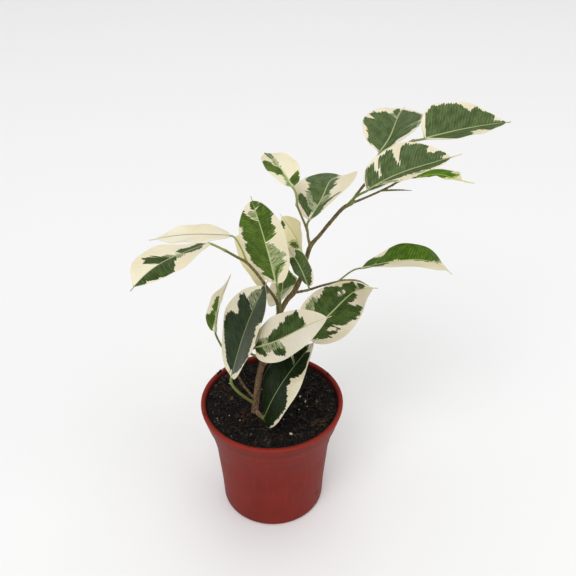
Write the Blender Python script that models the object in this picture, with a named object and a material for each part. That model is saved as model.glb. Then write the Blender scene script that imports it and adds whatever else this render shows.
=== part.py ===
"""A young variegated weeping fig in a small round nursery pot.

Every size below is in millimetres, and MM turns it into Blender's metres. The origin is the centre of
the pot's underside, +Z is up and -Y is the side that the plant shows best.
"""

import math
from collections import namedtuple

import bmesh
import bpy
from mathutils import Vector

MM = 0.001

# Driving dimensions of the pot: a 6 cm nursery pot with a stiff lip band and a stepped-in foot.
POT_HEIGHT = 54.4
RIM_RADIUS = 30.2
RIM_WIDTH = 2.0
RIM_ROUNDING = 0.7
BAND_BOTTOM = 45.2
BAND_RADIUS = 27.9
WALL = 0.9
FLOOR_TOP = 1.8
PAD_RADIUS = 9.0
FOOT_INNER_RADIUS = 18.5
RECESS = 0.8
DRAIN_HOLES = 6
DRAIN_RADIUS = 2.0
DRAIN_SIDES = 12
CUT_OVERRUN = 2.0
POT_SIDES = 40

# The outside of the wall below the lip band, as (radius, height), from the foot upwards. The band
# stands out from its top with a small undercut, and flares up to the rim.
WALL_OUTSIDE = (
    (22.5, 0.9), (22.9, 10.0), (23.5, 18.0), (24.1, 25.0), (24.6, 31.4),
    (25.1, 34.4), (25.7, 37.4), (26.4, 40.6), (27.4, 44.4),
)
UNDERCUT = (0.1, 0.2)

# The potting soil fills the pot almost to its lip. It is banked up against the wall and lower in the
# middle, by SOIL_DISH. Its top has small lumps, each wave of them as (turn per mm along X, turn per mm
# along Y, start).
GAP = 0.3
STEM_GAP = 0.35
STALK_GAP = 0.5
SOIL_LEVEL = 53.1
SOIL_DISH = 2.4
SOIL_LUMP = 0.25
LUMP_WAVES = ((0.9, 0.4, 0.0), (0.5, -1.1, 2.0))
SOIL_RINGS = (5.0, 10.0, 15.0, 20.0, 24.5)

# Stems are round in section, with these numbers of sides. Points closer than MERGE are one point.
TRUNK_SIDES = 10
STEM_SIDES = 8
STEM_STEPS = 2
MERGE = 0.02

# Leaf blades. A blade's edge is waved, and its rib stands out underneath. Stations along it crowd
# towards its ends.
BLADE = 0.6
BLADE_STATIONS = 13
CROWDING = 0.6
TAIL_HALF = 0.7
TAIL_TAPER = 1.15
RIB_DEPTH = 0.45
RIB_TAPER = 0.8
RIB_HALF = 0.07
WAVE_HEIGHT = 0.4
WAVES = 2.5
WAVE_LEAN = 2.0
WAVE_STEP = 1.7
FRONT = Vector((0.0, -0.83, 0.56))

# Leaf stalks. LEAD is how far back along the blade's line most stalks start to bend, as a share of their
# length, and SLANT_LIMIT keeps a stalk that leaves its stem at a shallow angle from starting too far out.
STALK_STATIONS = 4
LEAD = 0.45
SLANT_LIMIT = 0.5
RIB_LEAN = 0.25
UNDER_LEAN = 0.9
FOOT_STEPS = 8

# Across a blade, as shares of its half width: left to right on top, then back along the underside.
TOP_ROW = (-1.0, -0.5, 0.0, 0.5, 1.0)
UNDER_ROW = (1.0, 0.5, RIB_HALF, 0.0, -RIB_HALF, -0.5, -1.0)

CREAM = (0.80, 0.73, 0.52)
PALE_GREEN = (0.42, 0.50, 0.26)
BRIGHT_GREEN = (0.12, 0.24, 0.04)
LEAF_GREEN = (0.10, 0.19, 0.06)
DARK_GREEN = (0.03, 0.07, 0.02)
BARK = (0.16, 0.10, 0.05)
BRICK_RED = (0.30, 0.03, 0.02)
PEAT = (0.02, 0.014, 0.011)

# Woody stems. Each point is (x, y, z, radius) on the centre line, from the lower end upwards.
STEMS = {
    "trunk": (
        (-9.0, -4.0, 37.0, 1.3), (-7.4, -3.4, 50.5, 1.5), (-6.1, -3.0, 60.9, 1.4), (-5.2, -2.5, 68.2, 1.3),
        (-3.6, -2.0, 75.8, 1.3), (-1.0, -1.3, 85.6, 1.2), (1.9, -0.3, 94.4, 1.2), (4.1, 1.0, 100.7, 1.3),
    ),
    "shoot": (
        (3.5, 0.7, 99.0, 1.0), (6.4, 1.8, 104.5, 1.0), (9.1, 2.5, 107.8, 1.1), (11.8, 3.5, 114.1, 0.9),
        (13.7, 5.0, 120.9, 0.8), (15.3, 6.0, 126.5, 0.9), (18.5, 6.5, 130.6, 0.7), (21.7, 7.0, 135.0, 0.7),
        (26.8, 8.0, 141.2, 0.7), (30.4, 9.0, 143.2, 0.8),
    ),
    "top": (
        (29.6, 8.8, 142.8, 0.6), (34.7, 11.0, 149.5, 0.5), (42.2, 15.0, 156.3, 0.5),
        (48.6, 17.0, 162.0, 0.5), (52.5, 17.3, 164.2, 0.7),
    ),
    "left": (
        (3.6, 0.8, 99.6, 0.8), (2.0, 0.3, 106.0, 0.65), (-1.2, -1.0, 112.3, 0.6), (-4.8, -2.0, 119.1, 0.55),
        (-8.4, -3.0, 124.6, 0.55), (-12.2, -5.0, 128.6, 0.5), (-15.5, -7.0, 132.2, 0.45),
    ),
    "right": (
        (8.8, 2.4, 107.4, 0.6), (14.6, 4.0, 107.7, 0.5), (20.9, 6.0, 108.7, 0.45), (29.2, 8.0, 109.7, 0.5),
    ),
    "right_bud": (
        (28.6, 7.8, 109.7, 0.4), (32.0, 8.5, 109.4, 0.4), (35.3, 9.0, 108.4, 0.35), (39.0, 9.5, 105.9, 0.12),
    ),
    "top_left": (
        (15.3, 6.0, 126.0, 0.6), (14.3, 5.5, 130.7, 0.5), (13.9, 5.0, 134.0, 0.5),
        (11.7, 4.0, 140.5, 0.4), (10.0, 2.8, 145.6, 0.45),
    ),
    "young": (
        (30.0, 8.9, 143.0, 0.5), (34.1, 9.2, 144.7, 0.45), (39.8, 9.3, 147.5, 0.4), (44.7, 9.3, 150.2, 0.4),
    ),
    "young_bud": (
        (40.5, 9.3, 148.0, 0.3), (44.0, 9.0, 148.4, 0.35), (48.0, 8.4, 148.8, 0.3), (51.9, 8.0, 148.8, 0.12),
    ),
    "low_left": (
        (-6.6, -3.2, 56.4, 0.6), (-11.6, -1.2, 62.7, 0.5), (-15.0, 1.6, 68.1, 0.45), (-19.0, 5.1, 74.9, 0.4),
    ),
    "foot_spur": (
        (-7.0, -3.6, 51.6, 1.0), (-5.6, -6.4, 51.6, 1.0), (-4.0, -8.6, 51.9, 0.9),
    ),
}

# One leaf. base and tip are the ends of the blade's rib, and foot is the point on a stem's centre line
# that its stalk grows from. roll turns the blade about its rib, away from facing the front, and twist
# adds a turn from base to tip. half holds the half widths of its left and right side, widest at the
# share peak of its length, point sharpens each side's outer end, and drip is the share of its length
# taken by the thin tip. fold lifts the two sides, arch bends the rib towards the face, sway bends it
# sideways and hook bends it into an S. lead is the stalk's own LEAD, where it differs. Angles are in
# degrees.
Leaf = namedtuple("Leaf", "name stem foot base tip roll twist half peak point drip fold arch sway hook "
                          "stalk colour lead", defaults=(LEAD,))

LEAVES = (
    Leaf("leaf_far_left", "left", (-15.5, -7, 132.2), (-21.5, -9, 136.5), (-45, -34.5, 133.5),
         49, -41, (11, 11), 0.44, (0.9, 0.9), 0.06, (6, 5), 1, 3, -0.5, 0.5, CREAM, 0.1),
    Leaf("leaf_left_flat", "left", (-8.4, -3, 124.6), (-14.5, 5, 131.5), (-45.5, 6, 129),
         65, -18, (8, 8), 0.42, (1.1, 1.1), 0.06, (-2, 11), 1.5, -0.5, 0, 0.4, CREAM, 0.2),
    Leaf("leaf_left_behind", "left", (-1.2, -1, 112.3), (-2, 6, 106.5), (-10.5, 5, 133),
         -65, -8, (7.5, 7.5), 0.49, (0.9, 1.2), 0.06, (13, 13), -1.5, -4.5, 1, 0.4, CREAM),
    Leaf("leaf_centre_tall", "trunk", (3.6, 0.6, 99.6), (2.5, -4.5, 116), (-6.5, 2, 149.5),
         -29, 21, (10, 9), 0.5, (0.55, 0.5), 0.05, (0, 2), 0, 0.5, 0, 0.5, BRIGHT_GREEN),
    Leaf("leaf_low_left_small", "low_left", (-19.0, 5.1, 74.9), (-23, 7, 84.5), (-17, 23, 102.5),
         -60, 0, (6, 6), 0.35, (1.2, 1.2), 0.06, (23, 23), 2, 1, -0.5, 0.5, PALE_GREEN, 0.1),
    Leaf("leaf_low_left_dark", "trunk", (-6.9, -3.2, 54.5), (-16, -8, 73), (-1, -4, 117),
         -52, 17, (13.5, 11.5), 0.46, (0.85, 0.5), 0.05, (13, 10), -0.5, -3, 0, 0.7, DARK_GREEN, 0.25),
    Leaf("leaf_low_front", "trunk", (-3.0, -1.9, 78.5), (-6, -11, 91), (22.5, -18.5, 111.5),
         -23, 1, (9, 9), 0.44, (0.7, 0.7), 0.05, (15, 14), 1.5, 1, 0.5, 0.6, CREAM),
    Leaf("leaf_lowest_front", "foot_spur", (-4.0, -8.6, 51.9), (-3, -11, 54), (18.5, -5, 91),
         -52, 10, (12, 12), 0.42, (0.9, 0.9), 0.05, (4, 4), 5.5, 3.5, 0, 0.6, DARK_GREEN),
    Leaf("leaf_mid_right", "trunk", (-4.0, -2.1, 74.0), (13, 0, 88), (39, -16, 122),
         13, -4, (11.5, 10.5), 0.28, (0.9, 0.9), 0.06, (14, 11), -8, -1, 1, 0.5, LEAF_GREEN),
    Leaf("leaf_centre_behind", "trunk", (3.0, 0.4, 97.5), (2.5, 7, 99), (6, 30.5, 106),
         -43, 17, (8, 8), 0.47, (1.2, 1.2), 0.06, (2, 4), -3.5, -2, 0.5, 0.4, PALE_GREEN),
    Leaf("leaf_centre_right", "right", (12.6, 3.5, 107.6), (14.5, 0, 112.5), (6, 7, 126.5),
         -36, 31, (3.5, 5), 0.51, (1.1, 1.1), 0.05, (6, 6), 3, 3, 0, 0.4, LEAF_GREEN),
    Leaf("leaf_centre_back", "shoot", (13.3, 4.6, 119.3), (12.5, 9, 120), (3.5, 30.5, 127),
         -42, 39, (6.5, 7), 0.45, (0.7, 0.7), 0.06, (13, 14), -2.5, -0.5, 0, 0.4, CREAM),
    Leaf("leaf_top_left", "top_left", (10.0, 2.8, 145.6), (8.5, 1, 153.5), (-2, 23, 157),
         30, -5, (6.5, 6.5), 0.41, (1.1, 1.1), 0.06, (15, 14), 3, -1, 0, 0.5, CREAM),
    Leaf("leaf_top_centre", "top_left", (13.9, 5.0, 134.0), (14.5, 4, 138.5), (31.5, 34.5, 142),
         -51, 26, (12.5, 12.5), 0.5, (1.2, 1.2), 0.08, (14, 10), 5.5, 1, 1.5, 0.5, LEAF_GREEN),
    Leaf("leaf_top_back", "top", (37.0, 12.3, 151.8), (40.5, 18.5, 159), (53.5, 51, 164.5),
         -28, 9, (12, 13), 0.44, (1.1, 1.1), 0.05, (27, 27), 0.5, 0.5, 0.5, 0.5, LEAF_GREEN),
    Leaf("leaf_far_right_top", "top", (52.5, 17.3, 164.2), (56, 17, 165), (89.5, 27, 167.5),
         -39, 6, (12, 12), 0.31, (0.8, 0.8), 0.06, (28, 28), 0, -1, 0, 0.5, LEAF_GREEN),
    Leaf("leaf_right_upper", "shoot", (28.5, 8.5, 142.2), (35, 5, 150), (67.5, 4, 165),
         -43, 16, (11, 10.5), 0.41, (0.7, 0.7), 0.12, (27, 27), 0.5, -1.5, -0.5, 0.5, LEAF_GREEN),
    Leaf("leaf_right_young", "young", (44.7, 9.3, 150.2), (53, 9, 153.5), (75.5, 12.5, 149.5),
         73, -11, (5.5, 2.5), 0.47, (1.0, 1.2), 0.18, (5, 0), -1, -2, -1.5, 0.4, BRIGHT_GREEN),
    Leaf("leaf_right_arched", "right", (26.5, 7.4, 109.3), (35, 9, 114.5), (73, 15.5, 107.5),
         -53, 35, (8.5, 8), 0.34, (1.0, 1.0), 0.06, (23, 11), 10.5, 7, 0, 0.4, BRIGHT_GREEN, 0.3),
)


def clear_scene():
    for obj in list(bpy.data.objects):
        bpy.data.objects.remove(obj)


def material(name, colour, roughness):
    mat = bpy.data.materials.new(name)
    mat.use_nodes = True
    shader = mat.node_tree.nodes["Principled BSDF"]
    shader.inputs["Base Color"].default_value = (*colour, 1.0)
    shader.inputs["Roughness"].default_value = roughness
    shader.inputs["Metallic"].default_value = 0.0
    return mat


def add_object(name, verts, faces, mat=None, smooth_angle=40.0):
    """A mesh object from points in millimetres, shaded smooth except at its sharp edges."""
    mesh = bpy.data.meshes.new(name)
    mesh.from_pydata([tuple(Vector(v) * MM) for v in verts], [], faces)
    mesh.shade_smooth()
    mesh.set_sharp_from_angle(angle=math.radians(smooth_angle))
    obj = bpy.data.objects.new(name, mesh)
    bpy.context.scene.collection.objects.link(obj)
    if mat:
        mesh.materials.append(mat)
    return obj


def hide_cutter(obj):
    obj.hide_render = True
    obj.display_type = "WIRE"


def cut(obj, cutter):
    mod = obj.modifiers.new("cut", "BOOLEAN")
    mod.operation = "DIFFERENCE"
    mod.object = cutter


# Turned shapes

def on_circle(radius, index, sides):
    turn = 2.0 * math.pi * index / sides
    return radius * math.cos(turn), radius * math.sin(turn)


def turned(profile, sides):
    """Points and faces of a closed solid. The profile runs from the centre of its underside, out,
    up and back to the centre of its top; both ends are closed by a flat face."""
    verts = []
    for radius, height in profile:
        for i in range(sides):
            verts.append((*on_circle(radius, i, sides), height))
    faces = [tuple(reversed(range(sides)))]
    for row in range(len(profile) - 1):
        for i in range(sides):
            j = (i + 1) % sides
            low = row * sides
            high = low + sides
            faces.append((low + i, low + j, high + j, high + i))
    last = (len(profile) - 1) * sides
    faces.append(tuple(range(last, last + sides)))
    return verts, faces


def wall_inside():
    """The inside of the pot's wall from the floor up to the lip band, as (radius, height)."""
    rows = [(radius - WALL, height) for radius, height in WALL_OUTSIDE[1:]]
    return [(WALL_OUTSIDE[0][0] - WALL, FLOOR_TOP)] + rows


def pot_profile():
    inner_lip = RIM_RADIUS - RIM_WIDTH
    underside = [
        (PAD_RADIUS, 0.0), (PAD_RADIUS + RECESS, RECESS), (FOOT_INNER_RADIUS - RECESS, RECESS),
        (FOOT_INNER_RADIUS, 0.0), (WALL_OUTSIDE[0][0] - RECESS, 0.0),
    ]
    band = [
        (WALL_OUTSIDE[-1][0] + UNDERCUT[0], BAND_BOTTOM - UNDERCUT[1]), (BAND_RADIUS, BAND_BOTTOM),
        (RIM_RADIUS, POT_HEIGHT - RIM_ROUNDING), (RIM_RADIUS - RIM_ROUNDING, POT_HEIGHT),
        (inner_lip + RIM_ROUNDING, POT_HEIGHT), (inner_lip, POT_HEIGHT - RIM_ROUNDING),
    ]
    return underside + list(WALL_OUTSIDE) + band + wall_inside()[::-1]


def make_pot():
    verts, faces = turned(pot_profile(), POT_SIDES)
    pot = add_object("pot", verts, faces, material("pot_plastic", BRICK_RED, 0.35))
    hole_ring = (PAD_RADIUS + FOOT_INNER_RADIUS) / 2.0
    cutter_verts = []
    cutter_faces = []
    for hole in range(DRAIN_HOLES):
        x, y = on_circle(hole_ring, hole + 0.5, DRAIN_HOLES)
        ends = [(DRAIN_RADIUS, -CUT_OVERRUN), (DRAIN_RADIUS, FLOOR_TOP + CUT_OVERRUN)]
        ring, sides = turned(ends, DRAIN_SIDES)
        start = len(cutter_verts)
        cutter_verts += [(x + vx, y + vy, vz) for vx, vy, vz in ring]
        cutter_faces += [tuple(start + k for k in face) for face in sides]
    cutter = add_object("drain_cutter", cutter_verts, cutter_faces)
    hide_cutter(cutter)
    cut(pot, cutter)


def soil_height(x, y):
    """The soil's uneven top: a dish with small lumps, even at the wall."""
    reach = min(math.hypot(x, y) / SOIL_RINGS[-1], 1.0)
    lumps = sum(math.sin(along * x + across * y + start) for along, across, start in LUMP_WAVES)
    return SOIL_LEVEL - SOIL_DISH * (1.0 - reach ** 3) + SOIL_LUMP * lumps * (1.0 - reach ** 4)


def make_soil():
    side = [(radius - GAP, height) for radius, height in wall_inside()]
    side[0] = (side[0][0], FLOOR_TOP + GAP)
    radius, height = side[-1]
    rise = (SOIL_LEVEL - height) / (POT_HEIGHT - RIM_ROUNDING - height)
    side.append((radius + (RIM_RADIUS - RIM_WIDTH - GAP - radius) * rise, SOIL_LEVEL))
    verts, faces = turned(side + [(radius, SOIL_LEVEL) for radius in reversed(SOIL_RINGS)], POT_SIDES)
    first_free = len(side) * POT_SIDES
    for k in range(first_free, len(verts)):
        x, y, _ = verts[k]
        verts[k] = (x, y, soil_height(x, y))
    middle = len(verts)
    verts.append((0.0, 0.0, soil_height(0.0, 0.0)))
    top_ring = faces.pop()
    for i in range(POT_SIDES):
        faces.append((top_ring[i], top_ring[(i + 1) % POT_SIDES], middle))
    soil = add_object("soil", verts, faces, material("peat_soil", PEAT, 0.95))
    trunk = STEMS["trunk"]
    hole = [(*point[:3], point[3] + STEM_GAP) for point in trunk[:3]]
    bottom = Vector(trunk[0][:3]) - Vector((0.0, 0.0, STEM_GAP))
    hole[0] = (*bottom, hole[0][3])
    spur = [(*point[:3], point[3] + STEM_GAP) for point in STEMS["foot_spur"]]
    end = Vector(spur[-1][:3]) + (Vector(spur[-1][:3]) - Vector(spur[-2][:3])).normalized() * STEM_GAP
    spur[-1] = (*end, spur[-1][3])
    for name, route, sides in (("trunk_hole", hole, TRUNK_SIDES), ("spur_groove", spur, STEM_SIDES)):
        cutter = add_object(name, *tube(route, sides))
        hide_cutter(cutter)
        cut(soil, cutter)


# Tubes

def smooth_route(route, steps):
    """Points of a Catmull-Rom curve through (x, y, z, radius) points, with steps per stretch."""
    points = [Vector(p) for p in route]
    points = [points[0] * 2.0 - points[1]] + points + [points[-1] * 2.0 - points[-2]]
    out = []
    for i in range(1, len(points) - 2):
        a, b, c, d = points[i - 1:i + 3]
        for k in range(steps):
            t = k / steps
            out.append(0.5 * (2.0 * b + (c - a) * t + (2.0 * a - 5.0 * b + 4.0 * c - d) * t * t
                              + (3.0 * b - a - 3.0 * c + d) * t ** 3))
    out.append(points[-2])
    return out


def carried_frames(centres, first_normal):
    """A normal for each point, carried along the route without turning about it."""
    normals = []
    normal = first_normal
    for i in range(len(centres)):
        ahead = centres[min(i + 1, len(centres) - 1)]
        behind = centres[max(i - 1, 0)]
        along = (ahead - behind).normalized()
        normal = (normal - along * normal.dot(along)).normalized()
        normals.append((along, normal.copy()))
    return normals


def tube(route, sides, steps=STEM_STEPS):
    """Points and faces of a closed round tube along a route of (x, y, z, radius) points."""
    points = smooth_route(route, steps)
    centres = [p.to_3d() for p in points]
    verts = []
    for point, centre, (along, normal) in zip(points, centres, carried_frames(centres, Vector((0, -1, 0)))):
        side = along.cross(normal)
        for i in range(sides):
            across, up = on_circle(point[3], i, sides)
            verts.append(centre + normal * across + side * up)
    faces = [tuple(reversed(range(sides)))]
    for row in range(len(points) - 1):
        for i in range(sides):
            j = (i + 1) % sides
            low = row * sides
            high = low + sides
            faces.append((low + i, low + j, high + j, high + i))
    last = (len(points) - 1) * sides
    faces.append(tuple(range(last, last + sides)))
    return verts, faces


def make_stem():
    """The trunk, its branches, its buds and its low shoots, joined in one woody piece."""
    bark = material("bark", BARK, 0.75)
    branches = bpy.data.collections.new("branches")
    bpy.context.scene.collection.children.link(branches)
    stem = add_object("stem", *tube(STEMS["trunk"], TRUNK_SIDES), bark)
    for name, route in STEMS.items():
        if name == "trunk":
            continue
        branch = add_object(name, *tube(route, STEM_SIDES), bark)
        bpy.context.scene.collection.objects.unlink(branch)
        branches.objects.link(branch)
    union = stem.modifiers.new("union", "BOOLEAN")
    union.operation = "UNION"
    union.operand_type = "COLLECTION"
    union.collection = branches
    bpy.context.view_layer.update()
    joined = bpy.data.meshes.new_from_object(stem.evaluated_get(bpy.context.evaluated_depsgraph_get()))
    stem.modifiers.clear()
    stem.data = joined
    for branch in list(branches.objects):
        bpy.data.objects.remove(branch)
    bpy.data.collections.remove(branches)
    tidy_mesh(joined)


def tidy_mesh(mesh):
    """Merges points that a union leaves almost on top of each other, and splits the rest into triangles."""
    bm = bmesh.new()
    bm.from_mesh(mesh)
    bmesh.ops.remove_doubles(bm, verts=bm.verts, dist=MERGE * MM)
    bmesh.ops.dissolve_degenerate(bm, edges=bm.edges, dist=MERGE * MM)
    bmesh.ops.triangulate(bm, faces=bm.faces)
    bm.to_mesh(mesh)
    bm.free()


# Leaves

def blade_width(u, side_index, leaf):
    """One side's width at the share u of the blade's length: round to its widest place, then drawn in
    to a thin drip tip."""
    body = min(u / (1.0 - leaf.drip), 1.0)
    if body < leaf.peak:
        shape = math.sqrt(1.0 - (1.0 - body / leaf.peak) ** 2)
    else:
        fall = max(math.cos(math.pi / 2.0 * (body - leaf.peak) / (1.0 - leaf.peak)), 0.0)
        shape = fall ** leaf.point[side_index]
    return max(leaf.half[side_index] * shape, TAIL_HALF * (TAIL_TAPER - u))


def blade_frame(leaf):
    """The blade's direction, its face and its right-hand side, before it bends."""
    base = Vector(leaf.base)
    along = (Vector(leaf.tip) - base).normalized()
    flat = (FRONT - along * FRONT.dot(along)).normalized()
    roll = math.radians(leaf.roll)
    face = flat * math.cos(roll) + along.cross(flat) * math.sin(roll)
    return along, face, along.cross(face)


def rib_point(leaf, u, face, side):
    bend = math.sin(math.pi * u)
    aside = leaf.sway * bend + leaf.hook * math.sin(2.0 * math.pi * u)
    return Vector(leaf.base).lerp(Vector(leaf.tip), u) + face * leaf.arch * bend + side * aside


def blade_station(leaf, u, phase):
    """The ring of points round the blade at the share u of its length."""
    _, face, side = blade_frame(leaf)
    step = 0.001
    ahead = rib_point(leaf, min(u + step, 1.0), face, side)
    behind = rib_point(leaf, max(u - step, 0.0), face, side)
    along = (ahead - behind).normalized()
    normal = (face - along * face.dot(along)).normalized()
    turn = math.radians(leaf.twist) * (u - 0.5)
    normal = normal * math.cos(turn) + along.cross(normal) * math.sin(turn)
    across = along.cross(normal)
    centre = rib_point(leaf, u, face, side)
    widths = [blade_width(u, side_index, leaf) for side_index in (0, 1)]

    def surface(share):
        side_index = 1 if share > 0.0 else 0
        fold = math.radians(leaf.fold[side_index])
        reach = widths[side_index] * share
        wave = math.sin(2.0 * math.pi * WAVES * u + phase + WAVE_LEAN * share) * math.sin(math.pi * u)
        lift = abs(reach) * math.sin(fold) + WAVE_HEIGHT * wave * share * share
        return centre + across * reach * math.cos(fold) + normal * lift

    ring = [surface(share) + normal * (BLADE / 2.0) for share in TOP_ROW]
    for share in UNDER_ROW:
        depth = BLADE / 2.0
        if share == 0.0:
            depth += RIB_DEPTH * (1.0 - RIB_TAPER * u)
        ring.append(surface(share) - normal * depth)
    return ring, along, normal


def stalk_ring(centre, normal, side, radius):
    """A round section of the stalk, with its points in the same order as a blade's ring."""
    ring = []
    for row, sign in ((TOP_ROW, 1.0), (UNDER_ROW, -1.0)):
        for share in row:
            lean = share * (1.0 if sign > 0.0 else UNDER_LEAN)
            if abs(share) == RIB_HALF:
                lean = math.copysign(RIB_LEAN, share)
            turn = lean * math.pi / 2.0
            ring.append(centre + side * radius * math.sin(turn) + normal * sign * radius * math.cos(turn))
    return ring


def stem_surface(leaf, toward):
    """Where the stalk starts: just clear of the bark, on the line from its foot."""
    foot = Vector(leaf.foot)
    route = smooth_route(STEMS[leaf.stem], FOOT_STEPS)
    nearest = min(range(len(route)), key=lambda i: (route[i].to_3d() - foot).length)
    ahead = route[min(nearest + 1, len(route) - 1)].to_3d()
    behind = route[max(nearest - 1, 0)].to_3d()
    grain = (ahead - behind).normalized()
    out = (toward - foot).normalized()
    if nearest == len(route) - 1:
        return foot + grain * (STALK_GAP + 0.5 * leaf.stalk * (grain - out).length)
    slant = max(grain.cross(out).length, SLANT_LIMIT)
    lean = abs(grain.dot(out))
    return foot + out * ((route[nearest][3] + STALK_GAP + leaf.stalk * lean) / slant)


def stalk_route(leaf, along):
    """Centres of the stalk from the stem to the blade, on one smooth bend."""
    base = Vector(leaf.base)
    control = base - along * (base - Vector(leaf.foot)).length * leaf.lead
    start = stem_surface(leaf, control)
    points = []
    for k in range(STALK_STATIONS):
        t = k / STALK_STATIONS
        points.append(start * (1 - t) ** 2 + control * 2 * t * (1 - t) + base * t * t)
    return points


def make_leaf(leaf, number):
    phase = WAVE_STEP * number
    stations = []
    for i in range(BLADE_STATIONS):
        share = i / (BLADE_STATIONS - 1)
        eased = (1.0 - math.cos(math.pi * share)) / 2.0
        stations.append(share * (1.0 - CROWDING) + eased * CROWDING)
    first, along, normal = blade_station(leaf, 0.0, phase)
    centres = stalk_route(leaf, along) + [Vector(leaf.base)]
    rings = []
    for centre, (direction, up) in zip(reversed(centres), carried_frames(centres[::-1], normal)):
        rings.append(stalk_ring(centre, up, up.cross(direction), leaf.stalk))
    rings = rings[:0:-1]
    rings.append(first)
    for u in stations[1:]:
        rings.append(blade_station(leaf, u, phase)[0])
    sides = len(first)
    verts = [point for ring in rings for point in ring]
    faces = [tuple(reversed(range(sides)))]
    for row in range(len(rings) - 1):
        for i in range(sides):
            j = (i + 1) % sides
            low = row * sides
            high = low + sides
            if i < len(TOP_ROW):
                faces.append((low + i, low + j, high + j))
                faces.append((low + i, high + j, high + i))
            else:
                faces.append((low + i, low + j, high + i))
                faces.append((low + j, high + j, high + i))
    last = (len(rings) - 1) * sides
    faces.append(tuple(range(last, last + sides)))
    add_object(leaf.name, verts, faces, material(leaf.name, leaf.colour, 0.45), smooth_angle=55.0)


def main():
    clear_scene()
    make_pot()
    make_soil()
    make_stem()
    for number, leaf in enumerate(LEAVES):
        make_leaf(leaf, number)


main()
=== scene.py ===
"""Looks of a young variegated weeping fig in a small nursery pot.

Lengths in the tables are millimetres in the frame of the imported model, and MM turns them into metres.
"""

import math
from collections import namedtuple

import bmesh
import bpy
import numpy as np
from mathutils import Euler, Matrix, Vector, noise


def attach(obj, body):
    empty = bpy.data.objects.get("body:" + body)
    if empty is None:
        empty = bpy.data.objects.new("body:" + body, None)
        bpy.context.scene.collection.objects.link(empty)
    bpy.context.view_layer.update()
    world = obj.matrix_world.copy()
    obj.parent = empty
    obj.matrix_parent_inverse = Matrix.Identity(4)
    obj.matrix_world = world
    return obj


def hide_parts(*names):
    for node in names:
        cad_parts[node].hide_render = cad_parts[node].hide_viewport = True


MM = 0.001
SEED = 7

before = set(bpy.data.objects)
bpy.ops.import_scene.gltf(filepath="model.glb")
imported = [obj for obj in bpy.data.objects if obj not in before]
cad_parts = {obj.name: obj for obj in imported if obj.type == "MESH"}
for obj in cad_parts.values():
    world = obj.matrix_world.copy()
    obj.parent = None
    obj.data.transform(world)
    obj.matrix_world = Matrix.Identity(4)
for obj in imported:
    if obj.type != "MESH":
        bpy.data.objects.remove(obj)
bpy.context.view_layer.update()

# The camera looks down at the plant at the photograph's angle.
CAMERA_PLACE = (6.8, -238.0, 272.5)
CAMERA_TURN = (55.9, 0.0, 0.0)
CAMERA_LENS = 46.875

# Driving sizes of the pot. WALL_OUTSIDE is its wall as (radius, height), from the foot up to the band.
POT_HEIGHT = 54.4
RIM_RADIUS = 30.2
RIM_WIDTH = 2.0
BAND_BOTTOM = 45.2
BAND_RADIUS = 27.9
WALL = 0.9
FLOOR_TOP = 1.8
PAD_RADIUS = 9.0
FOOT_INNER_RADIUS = 18.5
RECESS = 0.8
DRAIN_HOLES = 6
DRAIN_RADIUS = 2.0
FOOT_RADIUS = 22.5
WALL_OUTSIDE = (
    (FOOT_RADIUS, 0.9), (22.9, 10.0), (23.5, 18.0), (24.1, 25.0), (24.6, 31.4),
    (25.1, 34.4), (25.7, 37.4), (26.4, 40.6), (27.4, 44.4),
)

# The soil's top: its height at the wall, how deep it dishes and how far out.
SOIL_LEVEL = 53.1
SOIL_DISH = 2.4
DISH_RADIUS = 24.5
SOIL_RADIUS = 27.75

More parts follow.
